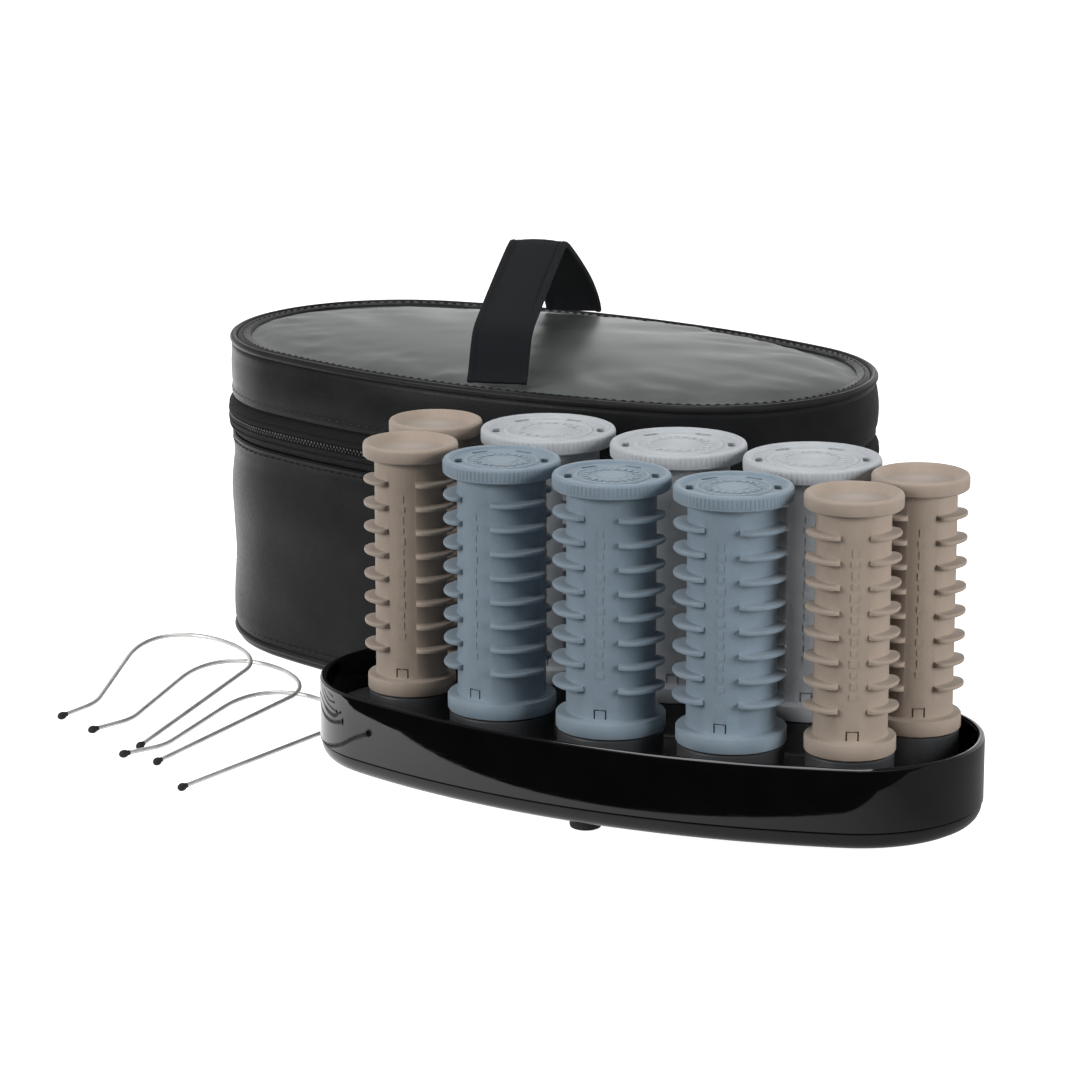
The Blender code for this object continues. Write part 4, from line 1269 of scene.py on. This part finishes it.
def sideways(tree, place):
    """How far a place or direction lies to the right in the view."""
    made = add_node(tree, "ShaderNodeVectorMath", {0: place, 1: RIGHT}, operation="DOT_PRODUCT")
    return made.outputs["Value"]


def build_stage():
    """Pale floor, and what the set mirrors of it: light to the left, dim to the right, black in front."""
    look = Look("floor_look", (0.88, 0.88, 0.88), roughness=0.9, emission_color=(1, 1, 1, 1),
                emission_strength=0.92)
    look.shades(look.noise(3.0, 1.0), 0.99, 1.0)
    floor = card("floor", look, -8, 8, -0.0002)
    floor.visible_diffuse = floor.visible_glossy = False
    look = Look("mirrored_floor_look", (0.02, 0.02, 0.02), roughness=0.9, specular_ior_level=0.0,
                emission_color=(1, 1, 1, 1))
    light = add_range(look.tree, sideways(look.tree, look.place), -0.18, 0.12, 2.1, 0.28)
    depth = look.node("ShaderNodeSeparateXYZ", {0: look.place}).outputs[1]
    lit = look.maths("GREATER_THAN", depth, base_place.y - BASE_OVAL[1] - 0.028)
    look.tree.links.new(look.maths("MULTIPLY", light, lit), look.shader.inputs["Emission Strength"])
    mirrored = card("mirrored_floor", look, -4, 4, -0.0001)
    mirrored.visible_camera = mirrored.visible_diffuse = mirrored.visible_shadow = False


def build_world():
    """Room seen in the gloss: a bright band over the horizon, brightest along the middle of the view and
    dim overhead. What it sheds on the set as light is weaker."""
    world = bpy.data.worlds.new("room")
    world.use_nodes = True
    tree = world.node_tree

    def maths(operation, *inputs):
        return add_node(tree, "ShaderNodeMath", dict(enumerate(inputs)), operation=operation).outputs[0]

    place = tree.nodes.new("ShaderNodeTexCoord").outputs["Generated"]
    height = add_node(tree, "ShaderNodeSeparateXYZ", {0: place}).outputs[2]
    ramp = add_node(tree, "ShaderNodeValToRGB", {0: maths("MULTIPLY_ADD", height, 0.5, 0.5)})
    stops = ((0.0, 0.5), (0.44, 0.5), (0.50, 0.75), (0.60, 0.95), (0.70, 0.70), (0.82, 0.22), (1.0, 0.15))
    while len(ramp.color_ramp.elements) < len(stops):
        ramp.color_ramp.elements.new(0.5)
    for element, (spot, value) in zip(ramp.color_ramp.elements, stops):
        element.position = spot
        element.color = (value, value, value, 1)
    side = sideways(tree, place)
    rising = add_range(tree, side, -0.06, 0.03, 0.95, 2.40)
    falling = add_range(tree, side, 0.036, 0.075, 1.0, 0.50)
    glossy = tree.nodes.new("ShaderNodeLightPath").outputs["Is Glossy Ray"]
    amount = add_range(tree, glossy, 0.0, 1.0, ROOM_LIGHT, 1.0)
    strength = maths("MULTIPLY", maths("MULTIPLY", rising, falling), amount)
    back = tree.nodes["Background"]
    tree.links.new(ramp.outputs[0], back.inputs["Color"])
    tree.links.new(strength, back.inputs["Strength"])
    bpy.context.scene.world = world


def lamp(name, place, aim, size, power):
    """Square area light that faces its aim."""
    light = bpy.data.lights.new(name, "AREA")
    light.shape = "RECTANGLE"
    light.size = light.size_y = size
    light.energy = power
    made = bpy.data.objects.new(name, light)
    bpy.context.scene.collection.objects.link(made)
    made.location = place
    made.rotation_euler = (Vector(aim) - Vector(place)).to_track_quat("-Z", "Y").to_euler()
    return made


def build_camera_and_lights():
    target = base_place + Vector((-0.0262, -0.0097, 0.0683))
    front = Vector((math.sin(CAMERA_TURN), -math.cos(CAMERA_TURN), 0))
    left, up = -Vector(RIGHT), Vector((0, 0, 1))
    towards = Vector((math.sin(CAMERA_TURN) * math.cos(CAMERA_RISE),
                      -math.cos(CAMERA_TURN) * math.cos(CAMERA_RISE),
                      math.sin(CAMERA_RISE)))
    camera = bpy.data.objects.new("camera", bpy.data.cameras.new("camera"))
    camera.data.lens = 138.6
    camera.data.sensor_width = 36.0
    camera.location = target + towards * CAMERA_DISTANCE
    camera.rotation_euler = (-towards).to_track_quat("-Z", "Y").to_euler()
    bpy.context.scene.collection.objects.link(camera)
    bpy.context.scene.camera = camera
    lamp("key", target + left * 1.05 + front * 0.50 + up * 0.40, target, 0.45, 10.4)
    lamp("top", target + up * 1.1 + left * 0.1, target, 0.7, 7.0)
    fill = lamp("fill", target - left * 0.52 + front * 0.34 + up * 0.14, target, 0.25, 2.9)
    fill.visible_glossy = False
    scene = bpy.context.scene
    scene.view_settings.view_transform = "Standard"
    scene.view_settings.look = "None"


# ---------------------------------------------------------------- the set

build_camera_and_lights()
build_world()
build_stage()
build_rollers()
build_housing()
build_deck()
build_cover()
build_feet_and_screws()
build_posts()
build_switch()
build_lens_and_gland()
dress_heater()
build_clips()
build_tub()
build_tape("tape_below", "zip_tape_lower", "carry_case", -1)
build_tape("tape_above", "zip_tape_upper", "case_lid", 1)
build_lid()
build_window()
build_hinge()
build_strap()
build_zip_slider()
